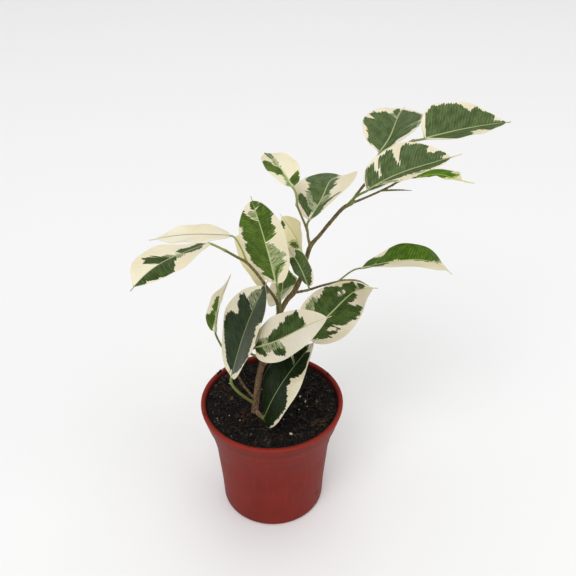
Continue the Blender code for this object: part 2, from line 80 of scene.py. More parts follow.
# Woody stems. Each point is (x, y, z, radius) on the centre line, from the lower end upwards, and the
# name is followed by the age of the wood, from 0, green, to 1, old bark. Below 0 is the yellow of joints.
STEMS = {
    "trunk": (1.0, (
        (-9.0, -4.0, 37.0, 1.3), (-7.4, -3.4, 50.5, 1.5), (-6.1, -3.0, 60.9, 1.4), (-5.2, -2.5, 68.2, 1.3),
        (-3.6, -2.0, 75.8, 1.3), (-1.0, -1.3, 85.6, 1.2), (1.9, -0.3, 94.4, 1.2), (4.1, 1.0, 100.7, 1.3),
    )),
    "shoot": (0.62, (
        (3.5, 0.7, 99.0, 1.0), (6.4, 1.8, 104.5, 1.0), (9.1, 2.5, 107.8, 1.1), (11.8, 3.5, 114.1, 0.9),
        (13.7, 5.0, 120.9, 0.8), (15.3, 6.0, 126.5, 0.9), (18.5, 6.5, 130.6, 0.7), (21.7, 7.0, 135.0, 0.7),
        (26.8, 8.0, 141.2, 0.7), (30.4, 9.0, 143.2, 0.8),
    )),
    "top": (0.55, (
        (29.6, 8.8, 142.8, 0.6), (34.7, 11.0, 149.5, 0.5), (42.2, 15.0, 156.3, 0.5),
        (48.6, 17.0, 162.0, 0.5), (52.5, 17.3, 164.2, 0.7),
    )),
    "left": (0.5, (
        (3.6, 0.8, 99.6, 0.8), (2.0, 0.3, 106.0, 0.65), (-1.2, -1.0, 112.3, 0.6), (-4.8, -2.0, 119.1, 0.55),
        (-8.4, -3.0, 124.6, 0.55), (-12.2, -5.0, 128.6, 0.5), (-15.5, -7.0, 132.2, 0.45),
    )),
    "right": (0.55, (
        (8.8, 2.4, 107.4, 0.6), (14.6, 4.0, 107.7, 0.5), (20.9, 6.0, 108.7, 0.45), (29.2, 8.0, 109.7, 0.5),
    )),
    "right_bud": (-0.65, (
        (28.6, 7.8, 109.7, 0.4), (32.0, 8.5, 109.4, 0.4), (35.3, 9.0, 108.4, 0.35), (39.0, 9.5, 105.9, 0.12),
    )),
    "top_left": (0.4, (
        (15.3, 6.0, 126.0, 0.6), (14.3, 5.5, 130.7, 0.5), (13.9, 5.0, 134.0, 0.5),
        (11.7, 4.0, 140.5, 0.4), (10.0, 2.8, 145.6, 0.45),
    )),
    "young": (0.45, (
        (30.0, 8.9, 143.0, 0.5), (34.1, 9.2, 144.7, 0.45), (39.8, 9.3, 147.5, 0.4), (44.7, 9.3, 150.2, 0.4),
    )),
    "young_bud": (0.3, (
        (40.5, 9.3, 148.0, 0.3), (44.0, 9.0, 148.4, 0.35), (48.0, 8.4, 148.8, 0.3), (51.9, 8.0, 148.8, 0.12),
    )),
    "low_left": (0.9, (
        (-6.6, -3.2, 56.4, 0.6), (-11.6, -1.2, 62.7, 0.5), (-15.0, 1.6, 68.1, 0.45), (-19.0, 5.1, 74.9, 0.4),
    )),
    "foot_spur": (1.0, (
        (-7.0, -3.6, 51.6, 1.0), (-5.6, -6.4, 51.6, 1.0), (-4.0, -8.6, 51.9, 0.9),
    )),
}

# Leaf tones: cream, grey-green, green, darker green, rib, and how much the side veins show.
TONES = {
    "dark": ((0.80, 0.72, 0.50), (0.11, 0.16, 0.06), (0.022, 0.042, 0.011), (0.011, 0.024, 0.005),
             (0.26, 0.32, 0.15), 0.08),
    # The next tones are darker than the dark ones as painted shade, for a leaf lying in the shadow of other
    # leaves.
    "deepest": ((0.80, 0.72, 0.50), (0.09, 0.14, 0.05), (0.010, 0.023, 0.005), (0.006, 0.014, 0.003),
                (0.24, 0.30, 0.13), 0.08),
    "deep": ((0.85, 0.76, 0.54), (0.20, 0.27, 0.12), (0.104, 0.154, 0.048), (0.060, 0.100, 0.030),
             (0.48, 0.53, 0.27), 0.28),
    "bright": ((0.83, 0.75, 0.52), (0.20, 0.28, 0.09), (0.092, 0.162, 0.014), (0.050, 0.098, 0.008),
               (0.50, 0.56, 0.25), 0.22),
    "vivid": ((0.88, 0.81, 0.46), (0.30, 0.45, 0.04), (0.120, 0.260, 0.000), (0.070, 0.170, 0.000),
              (0.40, 0.54, 0.10), 0.15),
    "fresh": ((0.86, 0.76, 0.52), (0.22, 0.33, 0.07), (0.078, 0.165, 0.006), (0.040, 0.094, 0.003),
              (0.50, 0.56, 0.22), 0.35),
    "cream": ((0.86, 0.77, 0.54), (0.28, 0.35, 0.14), (0.050, 0.092, 0.016), (0.028, 0.056, 0.009),
              (0.42, 0.45, 0.24), 0.25),
    # The ivory rib is painted shade: a dark grey-brown line standing for the shadowed rib of a leaf seen
    # edge-on, which also darkens its rim a little.
    "ivory": ((0.86, 0.78, 0.56), (0.33, 0.38, 0.18), (0.050, 0.085, 0.026), (0.030, 0.056, 0.016),
              (0.10, 0.11, 0.08), 0.1),
    "light": ((0.90, 0.81, 0.48), (0.36, 0.42, 0.16), (0.120, 0.170, 0.040), (0.075, 0.115, 0.025),
              (0.55, 0.58, 0.26), 0.2),
    "leafy": ((0.80, 0.71, 0.51), (0.17, 0.23, 0.08), (0.066, 0.118, 0.020), (0.032, 0.064, 0.010),
              (0.50, 0.55, 0.25), 0.2),
    "beige": ((0.72, 0.65, 0.49), (0.16, 0.22, 0.08), (0.048, 0.088, 0.015), (0.022, 0.044, 0.008),
              (0.46, 0.48, 0.26), 0.18),
}

# The share of pale grey in the tones of a leaf's underside, and the kinds of leaf that have less of it.
UNDERSIDE_SHARE = 0.18
UNDERSIDE = {"vivid": 0.03, "bright": 0.10}

# A leaf, as in the solid model, with its kind of tones. Angles are in degrees. LEAD is how far back along
# the blade's line most stalks start to bend, as a share of their length.
LEAD = 0.45
Leaf = namedtuple("Leaf", "name stem foot base tip roll twist half peak point drip fold arch sway hook "
                          "stalk tones lead", defaults=(LEAD,))

LEAVES = (
    Leaf("leaf_far_left", "left", (-15.5, -7, 132.2), (-21.5, -9, 136.5), (-45, -34.5, 133.5),
         49, -41, (11, 11), 0.44, (0.9, 0.9), 0.06, (6, 5), 1, 3, -0.5, 0.5, "cream", 0.1),
    Leaf("leaf_left_flat", "left", (-8.4, -3, 124.6), (-14.5, 5, 131.5), (-45.5, 6, 129),
         65, -18, (8, 8), 0.42, (1.1, 1.1), 0.06, (-2, 11), 1.5, -0.5, 0, 0.4, "ivory", 0.2),
    Leaf("leaf_left_behind", "left", (-1.2, -1, 112.3), (-2, 6, 106.5), (-10.5, 5, 133),
         -65, -8, (7.5, 7.5), 0.49, (0.9, 1.2), 0.06, (13, 13), -1.5, -4.5, 1, 0.4, "light"),
    Leaf("leaf_centre_tall", "trunk", (3.6, 0.6, 99.6), (2.5, -4.5, 116), (-6.5, 2, 149.5),
         -29, 21, (10, 9), 0.5, (0.55, 0.5), 0.05, (0, 2), 0, 0.5, 0, 0.5, "bright"),
    Leaf("leaf_low_left_small", "low_left", (-19.0, 5.1, 74.9), (-23, 7, 84.5), (-17, 23, 102.5),
         -60, 0, (6, 6), 0.35, (1.2, 1.2), 0.06, (23, 23), 2, 1, -0.5, 0.5, "bright", 0.1),
    Leaf("leaf_low_left_dark", "trunk", (-6.9, -3.2, 54.5), (-16, -8, 73), (-1, -4, 117),
         -52, 17, (13.5, 11.5), 0.46, (0.85, 0.5), 0.05, (13, 10), -0.5, -3, 0, 0.7, "dark", 0.25),
    Leaf("leaf_low_front", "trunk", (-3.0, -1.9, 78.5), (-6, -11, 91), (22.5, -18.5, 111.5),
         -23, 1, (9, 9), 0.44, (0.7, 0.7), 0.05, (15, 14), 1.5, 1, 0.5, 0.6, "beige"),
    Leaf("leaf_lowest_front", "foot_spur", (-4.0, -8.6, 51.9), (-3, -11, 54), (18.5, -5, 91),
         -52, 10, (12, 12), 0.42, (0.9, 0.9), 0.05, (4, 4), 5.5, 3.5, 0, 0.6, "deepest"),
    Leaf("leaf_mid_right", "trunk", (-4.0, -2.1, 74.0), (13, 0, 88), (39, -16, 122),
         13, -4, (11.5, 10.5), 0.28, (0.9, 0.9), 0.06, (14, 11), -8, -1, 1, 0.5, "leafy"),
    Leaf("leaf_centre_behind", "trunk", (3.0, 0.4, 97.5), (2.5, 7, 99), (6, 30.5, 106),
         -43, 17, (8, 8), 0.47, (1.2, 1.2), 0.06, (2, 4), -3.5, -2, 0.5, 0.4, "bright"),
    Leaf("leaf_centre_right", "right", (12.6, 3.5, 107.6), (14.5, 0, 112.5), (6, 7, 126.5),
         -36, 31, (3.5, 5), 0.51, (1.1, 1.1), 0.05, (6, 6), 3, 3, 0, 0.4, "deep"),
    Leaf("leaf_centre_back", "shoot", (13.3, 4.6, 119.3), (12.5, 9, 120), (3.5, 30.5, 127),
         -42, 39, (6.5, 7), 0.45, (0.7, 0.7), 0.06, (13, 14), -2.5, -0.5, 0, 0.4, "light"),
    Leaf("leaf_top_left", "top_left", (10.0, 2.8, 145.6), (8.5, 1, 153.5), (-2, 23, 157),
         30, -5, (6.5, 6.5), 0.41, (1.1, 1.1), 0.06, (15, 14), 3, -1, 0, 0.5, "bright"),
    Leaf("leaf_top_centre", "top_left", (13.9, 5.0, 134.0), (14.5, 4, 138.5), (31.5, 34.5, 142),
         -51, 26, (12.5, 12.5), 0.5, (1.2, 1.2), 0.08, (14, 10), 5.5, 1, 1.5, 0.5, "deep"),
    Leaf("leaf_top_back", "top", (37.0, 12.3, 151.8), (40.5, 18.5, 159), (53.5, 51, 164.5),
         -28, 9, (12, 13), 0.44, (1.1, 1.1), 0.05, (27, 27), 0.5, 0.5, 0.5, 0.5, "deep"),
    Leaf("leaf_far_right_top", "top", (52.5, 17.3, 164.2), (56, 17, 165), (89.5, 27, 167.5),
         -39, 6, (12, 12), 0.31, (0.8, 0.8), 0.06, (28, 28), 0, -1, 0, 0.5, "deep"),
    Leaf("leaf_right_upper", "shoot", (28.5, 8.5, 142.2), (35, 5, 150), (67.5, 4, 165),
         -43, 16, (11, 10.5), 0.41, (0.7, 0.7), 0.12, (27, 27), 0.5, -1.5, -0.5, 0.5, "deep"),
    Leaf("leaf_right_young", "young", (44.7, 9.3, 150.2), (53, 9, 153.5), (75.5, 12.5, 149.5),
         73, -11, (5.5, 2.5), 0.47, (1.0, 1.2), 0.18, (5, 0), -1, -2, -1.5, 0.4, "vivid"),
    Leaf("leaf_right_arched", "right", (26.5, 7.4, 109.3), (35, 9, 114.5), (73, 15.5, 107.5),
         -53, 35, (8.5, 8), 0.34, (1.0, 1.0), 0.06, (23, 11), 10.5, 7, 0, 0.4, "fresh", 0.3),
)

# Where a leaf is green and where grey-green, as outlines of (share of its length, share of its half
# width, left negative) in hundredths. The rest of the leaf is cream.
GREEN = {
    "leaf_far_left": (
        ((0, 85), (5, 70), (10, 45), (20, 28), (27, 35), (31, 20), (30, 0), (28, -20), (26, -42), (22, -35),
         (19, -60), (17, -78), (13, -65), (8, -35), (2, 30)),
        ((38, 0), (38, -10), (42, -35), (46, -40), (50, -65), (56, -80), (60, -95), (63, -110), (70, -110),
         (74, -85), (77, -95), (80, -80), (83, -55), (86, -90), (90, -110), (100, -110), (100, 5), (90, 0),
         (70, 0)),
        ((93, 0), (93, 110), (105, 110), (105, -100)),
        ((43, 0), (45, 20), (50, 40), (55, 62), (60, 80), (62, 72), (60.5, 60), (65, 52), (62, 38),
         (60, 25), (56, 0)),
    ),
    "leaf_centre_tall": (
        ((4, 0), (6, -30), (10, -55), (12, -80), (15, -55), (17, -65), (20, -75), (25, -87), (35, -87),
         (40, -92), (50, -88), (52, -72), (56, -85), (65, -85), (67, -97), (69, -80), (70, -95), (75, -110),
         (84, -110), (87, -95), (82, -60), (80, -45), (76, -20), (73, 0)),
        ((50, 0), (52, 25), (55, 40), (60, 60), (65, 68), (68, 62), (72, 65), (76, 80), (79, 110),
         (92, 110), (90, 60), (87, 20), (85, 0)),
        ((85, 0), (88, -30), (93, -50), (95, -100), (105, -100), (105, 100), (94, 100), (91, 50), (88, 10)),
        ((1, 5), (10, 8), (16, 15), (21, 25), (25, 50), (28, 80), (24, 70), (20, 45), (12, 28), (2, 20)),
    ),
    "leaf_low_left_small": (
        ((0, -60), (3, -90), (10, -110), (25, -110), (27, -65), (30, -60), (36, -50), (38, -60), (39, -78),
         (41, -75), (42, -45), (50, -45), (58, -55), (59, -30), (55, -15), (40, -5), (20, -10), (10, -20)),
    ),
    "leaf_low_left_dark": (
        ((3, -35), (7, -30), (10, -60), (15, -68), (20, -77), (25, -86), (35, -92), (45, -93), (48, -86),
         (52, -83), (52, -60), (55, -50), (58, -60), (63, -75), (70, -88), (73, -85), (73, -60), (72, -30),
         (66, -10), (66, 0), (10, 0)),
        ((0, -10), (5, 40), (10, 70), (20, 95), (35, 95), (40, 85), (50, 80), (56, 85), (60, 70), (65, 75),
         (70, 90), (75, 110), (105, 110), (105, -100), (94, -80), (90, 0), (50, -10)),
    ),
    "leaf_low_front": (
        ((20, 0), (22, -25), (30, -42), (36, -52), (40, -50), (50, -65), (53, -75), (60, -82), (67, -93),
         (69, -85), (69, -55), (72, -45), (70, -10), (65, 0)),
        ((0, 5), (8, 5), (12, 20), (16, 40), (21, 60), (17, 66), (10, 60), (0, 55)),
        ((27, 40), (31, 40), (36, 42), (41, 50), (44, 65), (42, 80), (37, 75), (32, 70), (29, 55)),
        ((0, -5), (0, -40), (6, -35), (14, -20), (10, -5)),
    ),
    "leaf_lowest_front": (
        ((-5, 0), (-5, -120), (70, -120), (72, -60), (70, -30), (70, 0)),
        ((70, 0), (72, -15), (75, -60), (80, -120), (90, -120), (88, 0)),
        ((-5, -10), (-5, 100), (10, 97), (20, 90), (30, 90), (42, 92), (45, 85), (50, 65), (50, 45),
         (53, 33), (57, 32), (60, 27), (63, 45), (66, 60), (70, 80), (75, 85), (85, 85), (87, 70), (86, 40),
         (84, 10), (88, -10)),
    ),
    "leaf_mid_right": (
        ((15, 0), (20, -40), (24, -50), (28, -65), (40, -76), (45, -84), (54, -92), (61, -80), (63, -62),
         (68, -76), (73, -85), (78, -110), (78, -70), (76, -40), (72, -15), (68, 0)),
        ((74, 0), (78, -30), (81, -70), (83, -110), (88, -110), (87, -50), (83, -15), (80, 0)),
        ((4, 0), (2, 50), (8, 62), (16, 70), (22, 75), (26, 67), (25, 58), (19, 48), (18, 42), (21, 40),
         (25, 46), (30, 60), (40, 78), (45, 87), (49, 94), (53, 90), (60, 88), (57, 65), (52, 42), (50, 22),
         (55, 27), (62, 36), (66, 27), (65, 0)),
    ),
    "leaf_centre_behind": (
        ((40, -30), (60, -30), (75, 20), (80, 60), (78, 85), (60, 90), (35, 90), (40, 30)),
    ),
    "leaf_centre_right": (
        ((2, -110), (68, -110), (72, -80), (72, -30), (68, 0), (70, 30), (77, 60), (77, 110), (50, 110),
         (40, 90), (30, 80), (20, 70), (5, 60)),
    ),
    "leaf_centre_back": (
        ((25, -10), (30, -30), (40, -50), (46, -60), (46, -40), (40, -20), (30, -8)),
        ((75, -85), (82, -95), (90, -60), (88, -30), (80, -23), (76, -45)),
    ),
    "leaf_top_left": (
        ((30, 0), (24, -10), (23.5, -60), (29, -68), (31, -90), (35, -110), (46, -110), (50, -85),
         (51, -62), (48, -40), (41, -42), (38, -10)),
        ((58, 0), (68, -30), (76, -50), (88, -110), (105, -110), (105, 110), (88, 110), (80, 50), (72, 20)),
        ((3, 20), (5, 10), (10, 5), (15, 20), (18, 40), (21, 65), (21, 85), (15, 95), (8, 95), (4, 70)),
    ),
    "leaf_top_centre": (
        ((2, -25), (5, -50), (10, -75), (15, -90), (22, -95), (30, -88), (32, -80), (27, -65), (20, -55),
         (13, -45), (10, -20)),
        ((17, 0), (22, -30), (30, -40), (40, -55), (48, -55), (52, -70), (60, -90), (64, -110), (84, -110),
         (86, -70), (83, -40), (85, -10), (70, 0)),
        ((0, 5), (0, 110), (8, 110), (11, 75), (14, 65), (18, 70), (22, 80), (24, 95), (26, 85), (24, 55),
         (20, 30), (18, 0)),
        ((28, 0), (30, 25), (35, 22), (40, 38), (43, 40), (45, 25), (50, 30), (55, 35), (60, 25), (58, 10),
         (55, 0)),
    ),
    "leaf_top_back": (
        ((2, 0), (2, -30), (5, -85), (10, -100), (13, -80), (20, -85), (24, -80), (27, -90), (30, -100),
         (45, -100), (50, -75), (52, -95), (59, -95), (60, -75), (70, -75), (70, -40), (68, 0)),
        ((75, -15), (78, -45), (83, -65), (88, -95), (90, -80), (88, -30), (85, -10)),
        ((0, 0), (0, 80), (6, 75), (10, 60), (15, 55), (20, 75), (30, 95), (35, 90), (37, 45), (39, 45),
         (42, 92), (55, 95), (66, 95), (75, 85), (83, 70), (88, 45), (90, 0)),
    ),
    "leaf_far_right_top": (
        ((3, 0), (3, -20), (6, -60), (12, -95), (30, -92), (40, -97), (50, -95), (54, -85), (58, -70),
         (62, -75), (70, -95), (73, -85), (78, -90), (82, -90), (83, -60), (80, -40), (80, 0)),
        ((5, 0), (7, 50), (15, 85), (25, 110), (35, 110), (42, 85), (45, 55), (50, 50), (58, 50), (62, 70),
         (68, 110), (105, 110), (105, -100), (93, -100), (90, -30), (80, -10)),
    ),
    "leaf_right_upper": (
        ((2, 0), (3, -30), (8, -80), (12, -95), (18, -90), (17, -40), (17, -20), (20, -25), (22, -55),
         (24, -85), (33, -95), (37, -90), (38, -55), (38.5, -20), (41.5, -20), (42, -55), (43, -85),
         (50, -88), (57, -95), (65, -100), (72, -98), (68, -75), (68, -60), (73, -60), (77, -75), (84, -95),
         (87, -90), (86, -60), (82, -35), (80, 0)),
        ((-5, 0), (3, 90), (10, 95), (25, 92), (16, 45), (8, 0)),
        ((15, 0), (22, 40), (30, 58), (35, 62), (45, 55), (55, 58), (62, 62), (68, 80), (75, 85), (90, 90),
         (93, 0), (80, -10)),
    ),
    "leaf_right_young": (
        ((-5, -120), (40, -110), (42, -80), (48, -55), (52, -75), (58, -85), (58, 0), (52, 30), (50, 45),
         (47, 90), (40, 110), (20, 110), (10, 60), (3, 20)),
    ),
    "leaf_right_arched": (
        ((2, -8), (2, -110), (8, -110), (10, -78), (14, -62), (18, -72), (21, -98), (27, -110), (31, -102),
         (35, -110), (78, -110), (78, -80), (75, -50), (68, -15), (60, 8), (50, 12), (42, 2), (30, -4)),
        ((0, -10), (21, -10), (23, 30), (20, 90), (15, 100), (8, 80), (0, 30)),
    ),
}

GREY = {
    "leaf_far_left": (
        ((30, 10), (31, -30), (36, -30), (39, -35), (42, -20), (50, -5), (46, 30), (42, 25), (36, 10)),
        ((45, -10), (50, -50), (56, -75), (55, -50), (50, -20)),
    ),
    "leaf_centre_tall": (
        ((0, 0), (0, 30), (8, 30), (14, 50), (22, 70), (28, 85), (30, 65), (35, 85), (38, 65), (43, 50),
         (48, 20), (50, 0)),
        ((73, 0), (76, -20), (80, -45), (84, -55), (85, -30), (83, 0)),
    ),
    "leaf_low_left_small": (
        ((0, -10), (40, -10), (38, 100), (0, 100)),
    ),
    "leaf_low_left_dark": (
        ((60, 0), (72, -30), (74, -50), (80, -55), (86, -60), (90, -30), (95, 0), (75, 10)),
    ),
    "leaf_low_front": (
        ((0, 0), (3, -50), (8, -55), (10, -45), (20, -35), (25, -15), (30, 0)),
        ((0, -10), (33, -5), (35, 10), (40, 30), (43, 50), (40, 50), (30, 40), (20, 45), (10, 40), (3, 45)),
        ((60, -10), (70, -30), (72, -10), (68, 0)),
    ),
    "leaf_lowest_front": (
        ((68, 0), (70, -30), (78, -70), (90, -60), (88, 0)),
    ),
    "leaf_mid_right": (
        ((5, -5), (12, -60), (20, -85), (28, -90), (35, -95), (35, -60), (25, 0)),
        ((30, 0), (40, 30), (45, 50), (50, 80), (55, 80), (50, 30)),
        ((68, 0), (75, -40), (79, -70), (80, 0)),
    ),
    "leaf_centre_behind": (
        ((0, 0), (20, -50), (45, -35), (45, 30), (35, 60), (20, 30)),
    ),
    "leaf_centre_right": (
        ((0, -100), (15, -90), (25, 30), (10, 70), (0, 70)),
    ),
    "leaf_centre_back": (
        ((20, 0), (30, -40), (50, -65), (50, -20), (35, 0)),
    ),
    "leaf_top_left": (
        ((38, 0), (41, -35), (60, -25), (70, -40), (75, 0), (60, 10)),
        ((0, 0), (2, -100), (8, -40), (20, -30), (24, 0)),
    ),
    "leaf_top_centre": (
        ((8, 0), (10, -30), (13, -45), (20, -55), (30, -62), (40, -60), (42, -50), (30, -35), (20, 0)),
        ((16, 0), (30, 0), (31, 25), (27, 42), (22, 45), (18, 25)),
        ((55, 0), (72, -35), (80, -20), (80, 10), (60, 25)),
    ),
    "leaf_top_back": (
        ((68, 0), (70, -40), (73, -50), (78, -30), (90, 0)),
        ((28, 100), (35, 60), (37, 30), (41, 30), (40, 90), (37, 110)),
    ),
    "leaf_far_right_top": (
        ((80, 0), (83, -30), (88, -50), (92, -20), (90, 10)),
    ),
    "leaf_right_upper": (
        ((8, 0), (16, 0), (20, 35), (30, 65), (38, 95), (27, 95), (16, 45)),
        ((50, 60), (62, 65), (70, 90), (60, 90)),
    ),
    "leaf_right_young": (
        ((55, -90), (62, -80), (63, 30), (55, 60)),
    ),
    "leaf_right_arched": (
        ((66, -10), (74, -50), (77, -90), (79, -90), (79, -40), (70, 0)),
    ),
}

# Pale streaks within the green.
STREAKS = {
    "leaf_mid_right": (
        ((49, -26), (51.5, -24), (55, -42), (53, -46)),
        ((56, -22), (58, -22), (61, -38), (59, -40)),
    ),
    "leaf_right_upper": (
        ((38.5, -15), (41, -15), (42.5, -70), (38.5, -70)),
    ),
}

# Leaf surfaces, in millimetres or as shares. FRONT is the way that a blade without roll faces.
FRONT = np.array((0.0, -0.83, 0.56))
TAIL_HALF = 0.7
TAIL_TAPER = 1.15
WAVE_HEIGHT = 0.4
WAVES = 2.5
WAVE_LEAN = 2.0
WAVE_STEP = 1.7
THICKNESS = 0.36
EDGE_THINNING = 0.6
UNDER_REACH = 0.96
GROOVE_DEPTH = 0.09
GROOVE_WIDTH = 0.3
RIDGE_AT_TIP = 0.15
RIDGE_GAIN = 0.8
STATION_GAP = 0.42
FEWEST_STATIONS = 60
EVEN_SPACING = 0.6
SHARES_A_SIDE = 24
SHARE_POWER = 1.4
LAST_SHARE = 0.985
STALK_STATIONS = 16
STALK_SIZE = 0.85
STALK_FOOT = 0.35
STALK_BLEND = 0.035
VEIN_SLANT = 0.5
VEIN_GAP = 1.15
RIPPLE_GAP = 2.3
VEIN_RELIEF = 0.035


def unit(v):
    return v / np.linalg.norm(v, axis=-1, keepdims=True)


def smooth(x):
    x = np.clip(x, 0.0, 1.0)
    return x * x * (3.0 - 2.0 * x)


def placed(name, data):
    """A new object in the scene."""
    obj = bpy.data.objects.new(name, data)
    bpy.context.scene.collection.objects.link(obj)
    return obj


def mesh_object(name, verts, faces, mat, fields=()):
    """A smooth mesh object from points in millimetres, with one attribute of three values per field."""
    mesh = bpy.data.meshes.new(name)
    mesh.from_pydata((np.asarray(verts) * MM).tolist(), [], [tuple(f) for f in faces])
    for field, values in fields:
        set_field(mesh, field, values)
    mesh.shade_smooth()
    mesh.materials.append(mat)
    return placed(name, mesh)


def set_field(mesh, field, values):
    layer = mesh.attributes.new(field, "FLOAT_VECTOR", "POINT")
    layer.data.foreach_set("vector", np.ascontiguousarray(values, dtype=np.float32).ravel())


def bmesh_object(name, bm, mat=None):
    """A mesh object from a bmesh, which is freed."""
    mesh = bpy.data.meshes.new(name)
    bm.to_mesh(mesh)
    bm.free()
    if mat is not None:
        mesh.materials.append(mat)
    return placed(name, mesh)


def apply_modifiers(obj):
    bpy.context.view_layer.update()
    mesh = bpy.data.meshes.new_from_object(obj.evaluated_get(bpy.context.evaluated_depsgraph_get()))
    obj.modifiers.clear()
    obj.data = mesh
    return mesh


def grid_faces(rows, sides):
    """Faces between rings of points and over both ends, outward if the rings run anticlockwise."""
    index = np.arange(rows * sides).reshape(rows, sides)
    low, high = index[:-1], index[1:]
    quads = np.stack((low, np.roll(low, -1, 1), np.roll(high, -1, 1), high), -1).reshape(-1, 4)
    return quads.tolist() + [index[0][::-1].tolist(), index[-1].tolist()]


# Curves

def smooth_route(route, steps):
    """Points of a Catmull-Rom curve through the rows of a table, with steps per stretch."""
    points = np.array(route, float)
    points = np.vstack((2 * points[0] - points[1], points, 2 * points[-1] - points[-2]))
    out = []
    for i in range(1, len(points) - 2):
        a, b, c, d = points[i - 1:i + 3]
        t = (np.arange(steps) / steps)[:, None]
        out.append(0.5 * (2 * b + (c - a) * t + (2 * a - 5 * b + 4 * c - d) * t ** 2
                          + (3 * b - a - 3 * c + d) * t ** 3))
    out.append(points[-2:-1])
    return np.vstack(out)


def carried_normals(centres, first):
    """The way along and a normal at each point, carried along without turning about it."""
    along = unit(np.gradient(centres, axis=0))
    normals = []
    normal = first
    for way in along:
        normal = unit(normal - way * normal.dot(way))
        normals.append(normal)
    return along, np.array(normals)


def tube_rings(line, radii, first, sides):
    """Rings of points round a line, each with its own radius."""
    way, up = carried_normals(line, first)
    out = np.cross(way, up)
    turn = 2 * np.pi * np.arange(sides) / sides
    return (line[:, None] + up[:, None] * (radii * np.cos(turn))[..., None]
            + out[:, None] * (radii * np.sin(turn))[..., None])


# Leaves

def blade_width(u, hand, leaf):
    body = np.clip(u / (1.0 - leaf.drip), 0.0, 1.0)
    low = np.sqrt(np.clip(1.0 - (1.0 - body / leaf.peak) ** 2, 0.0, 1.0))
    high = np.clip(np.cos(np.pi / 2 * (body - leaf.peak) / (1.0 - leaf.peak)), 0.0, 1.0) ** leaf.point[hand]
    return np.maximum(leaf.half[hand] * np.where(body < leaf.peak, low, high), TAIL_HALF * (TAIL_TAPER - u))


def blade_frame(leaf):
    base = np.array(leaf.base, float)
    along = unit(np.array(leaf.tip, float) - base)
    flat = unit(FRONT - along * FRONT.dot(along))
    roll = math.radians(leaf.roll)
    face = flat * math.cos(roll) + np.cross(along, flat) * math.sin(roll)
    return along, face, np.cross(along, face)


def rib_points(leaf, u, face, side):
    base = np.array(leaf.base, float)
    tip = np.array(leaf.tip, float)
    u = u[:, None]
    aside = leaf.sway * np.sin(np.pi * u) + leaf.hook * np.sin(2 * np.pi * u)
    return base + (tip - base) * u + face * leaf.arch * np.sin(np.pi * u) + side * aside


def inside_distance(points, outlines):
    """Signed distance in millimetres to a set of outlines, positive inside any of them."""
    best = np.full(len(points), -20.0)
    for outline in outlines:
        a = np.array(outline, float)
        b = np.roll(a, -1, 0)
        edge = b - a
        reach = points[:, None, :] - a[None]
        share = np.clip((reach * edge).sum(-1) / np.maximum((edge ** 2).sum(-1), 1e-9), 0.0, 1.0)
        gap = np.linalg.norm(reach - share[..., None] * edge, axis=-1).min(1)
        x, y = points[:, :1], points[:, 1:]
        crosses = (a[:, 1] > y) != (b[:, 1] > y)
        with np.errstate(divide="ignore", invalid="ignore"):
            where = edge[:, 0] * (y - a[:, 1]) / edge[:, 1] + a[:, 0]
        inside = (crosses & (x < where)).sum(1) % 2 == 1
        best = np.maximum(best, np.where(inside, gap, -gap))
    return best


def ring_shares():
    half = np.linspace(0.0, 1.0, SHARES_A_SIDE) ** SHARE_POWER
    half = np.append(half[:-1], (LAST_SHARE, 1.0))
    return np.concatenate((-half[:0:-1], half))


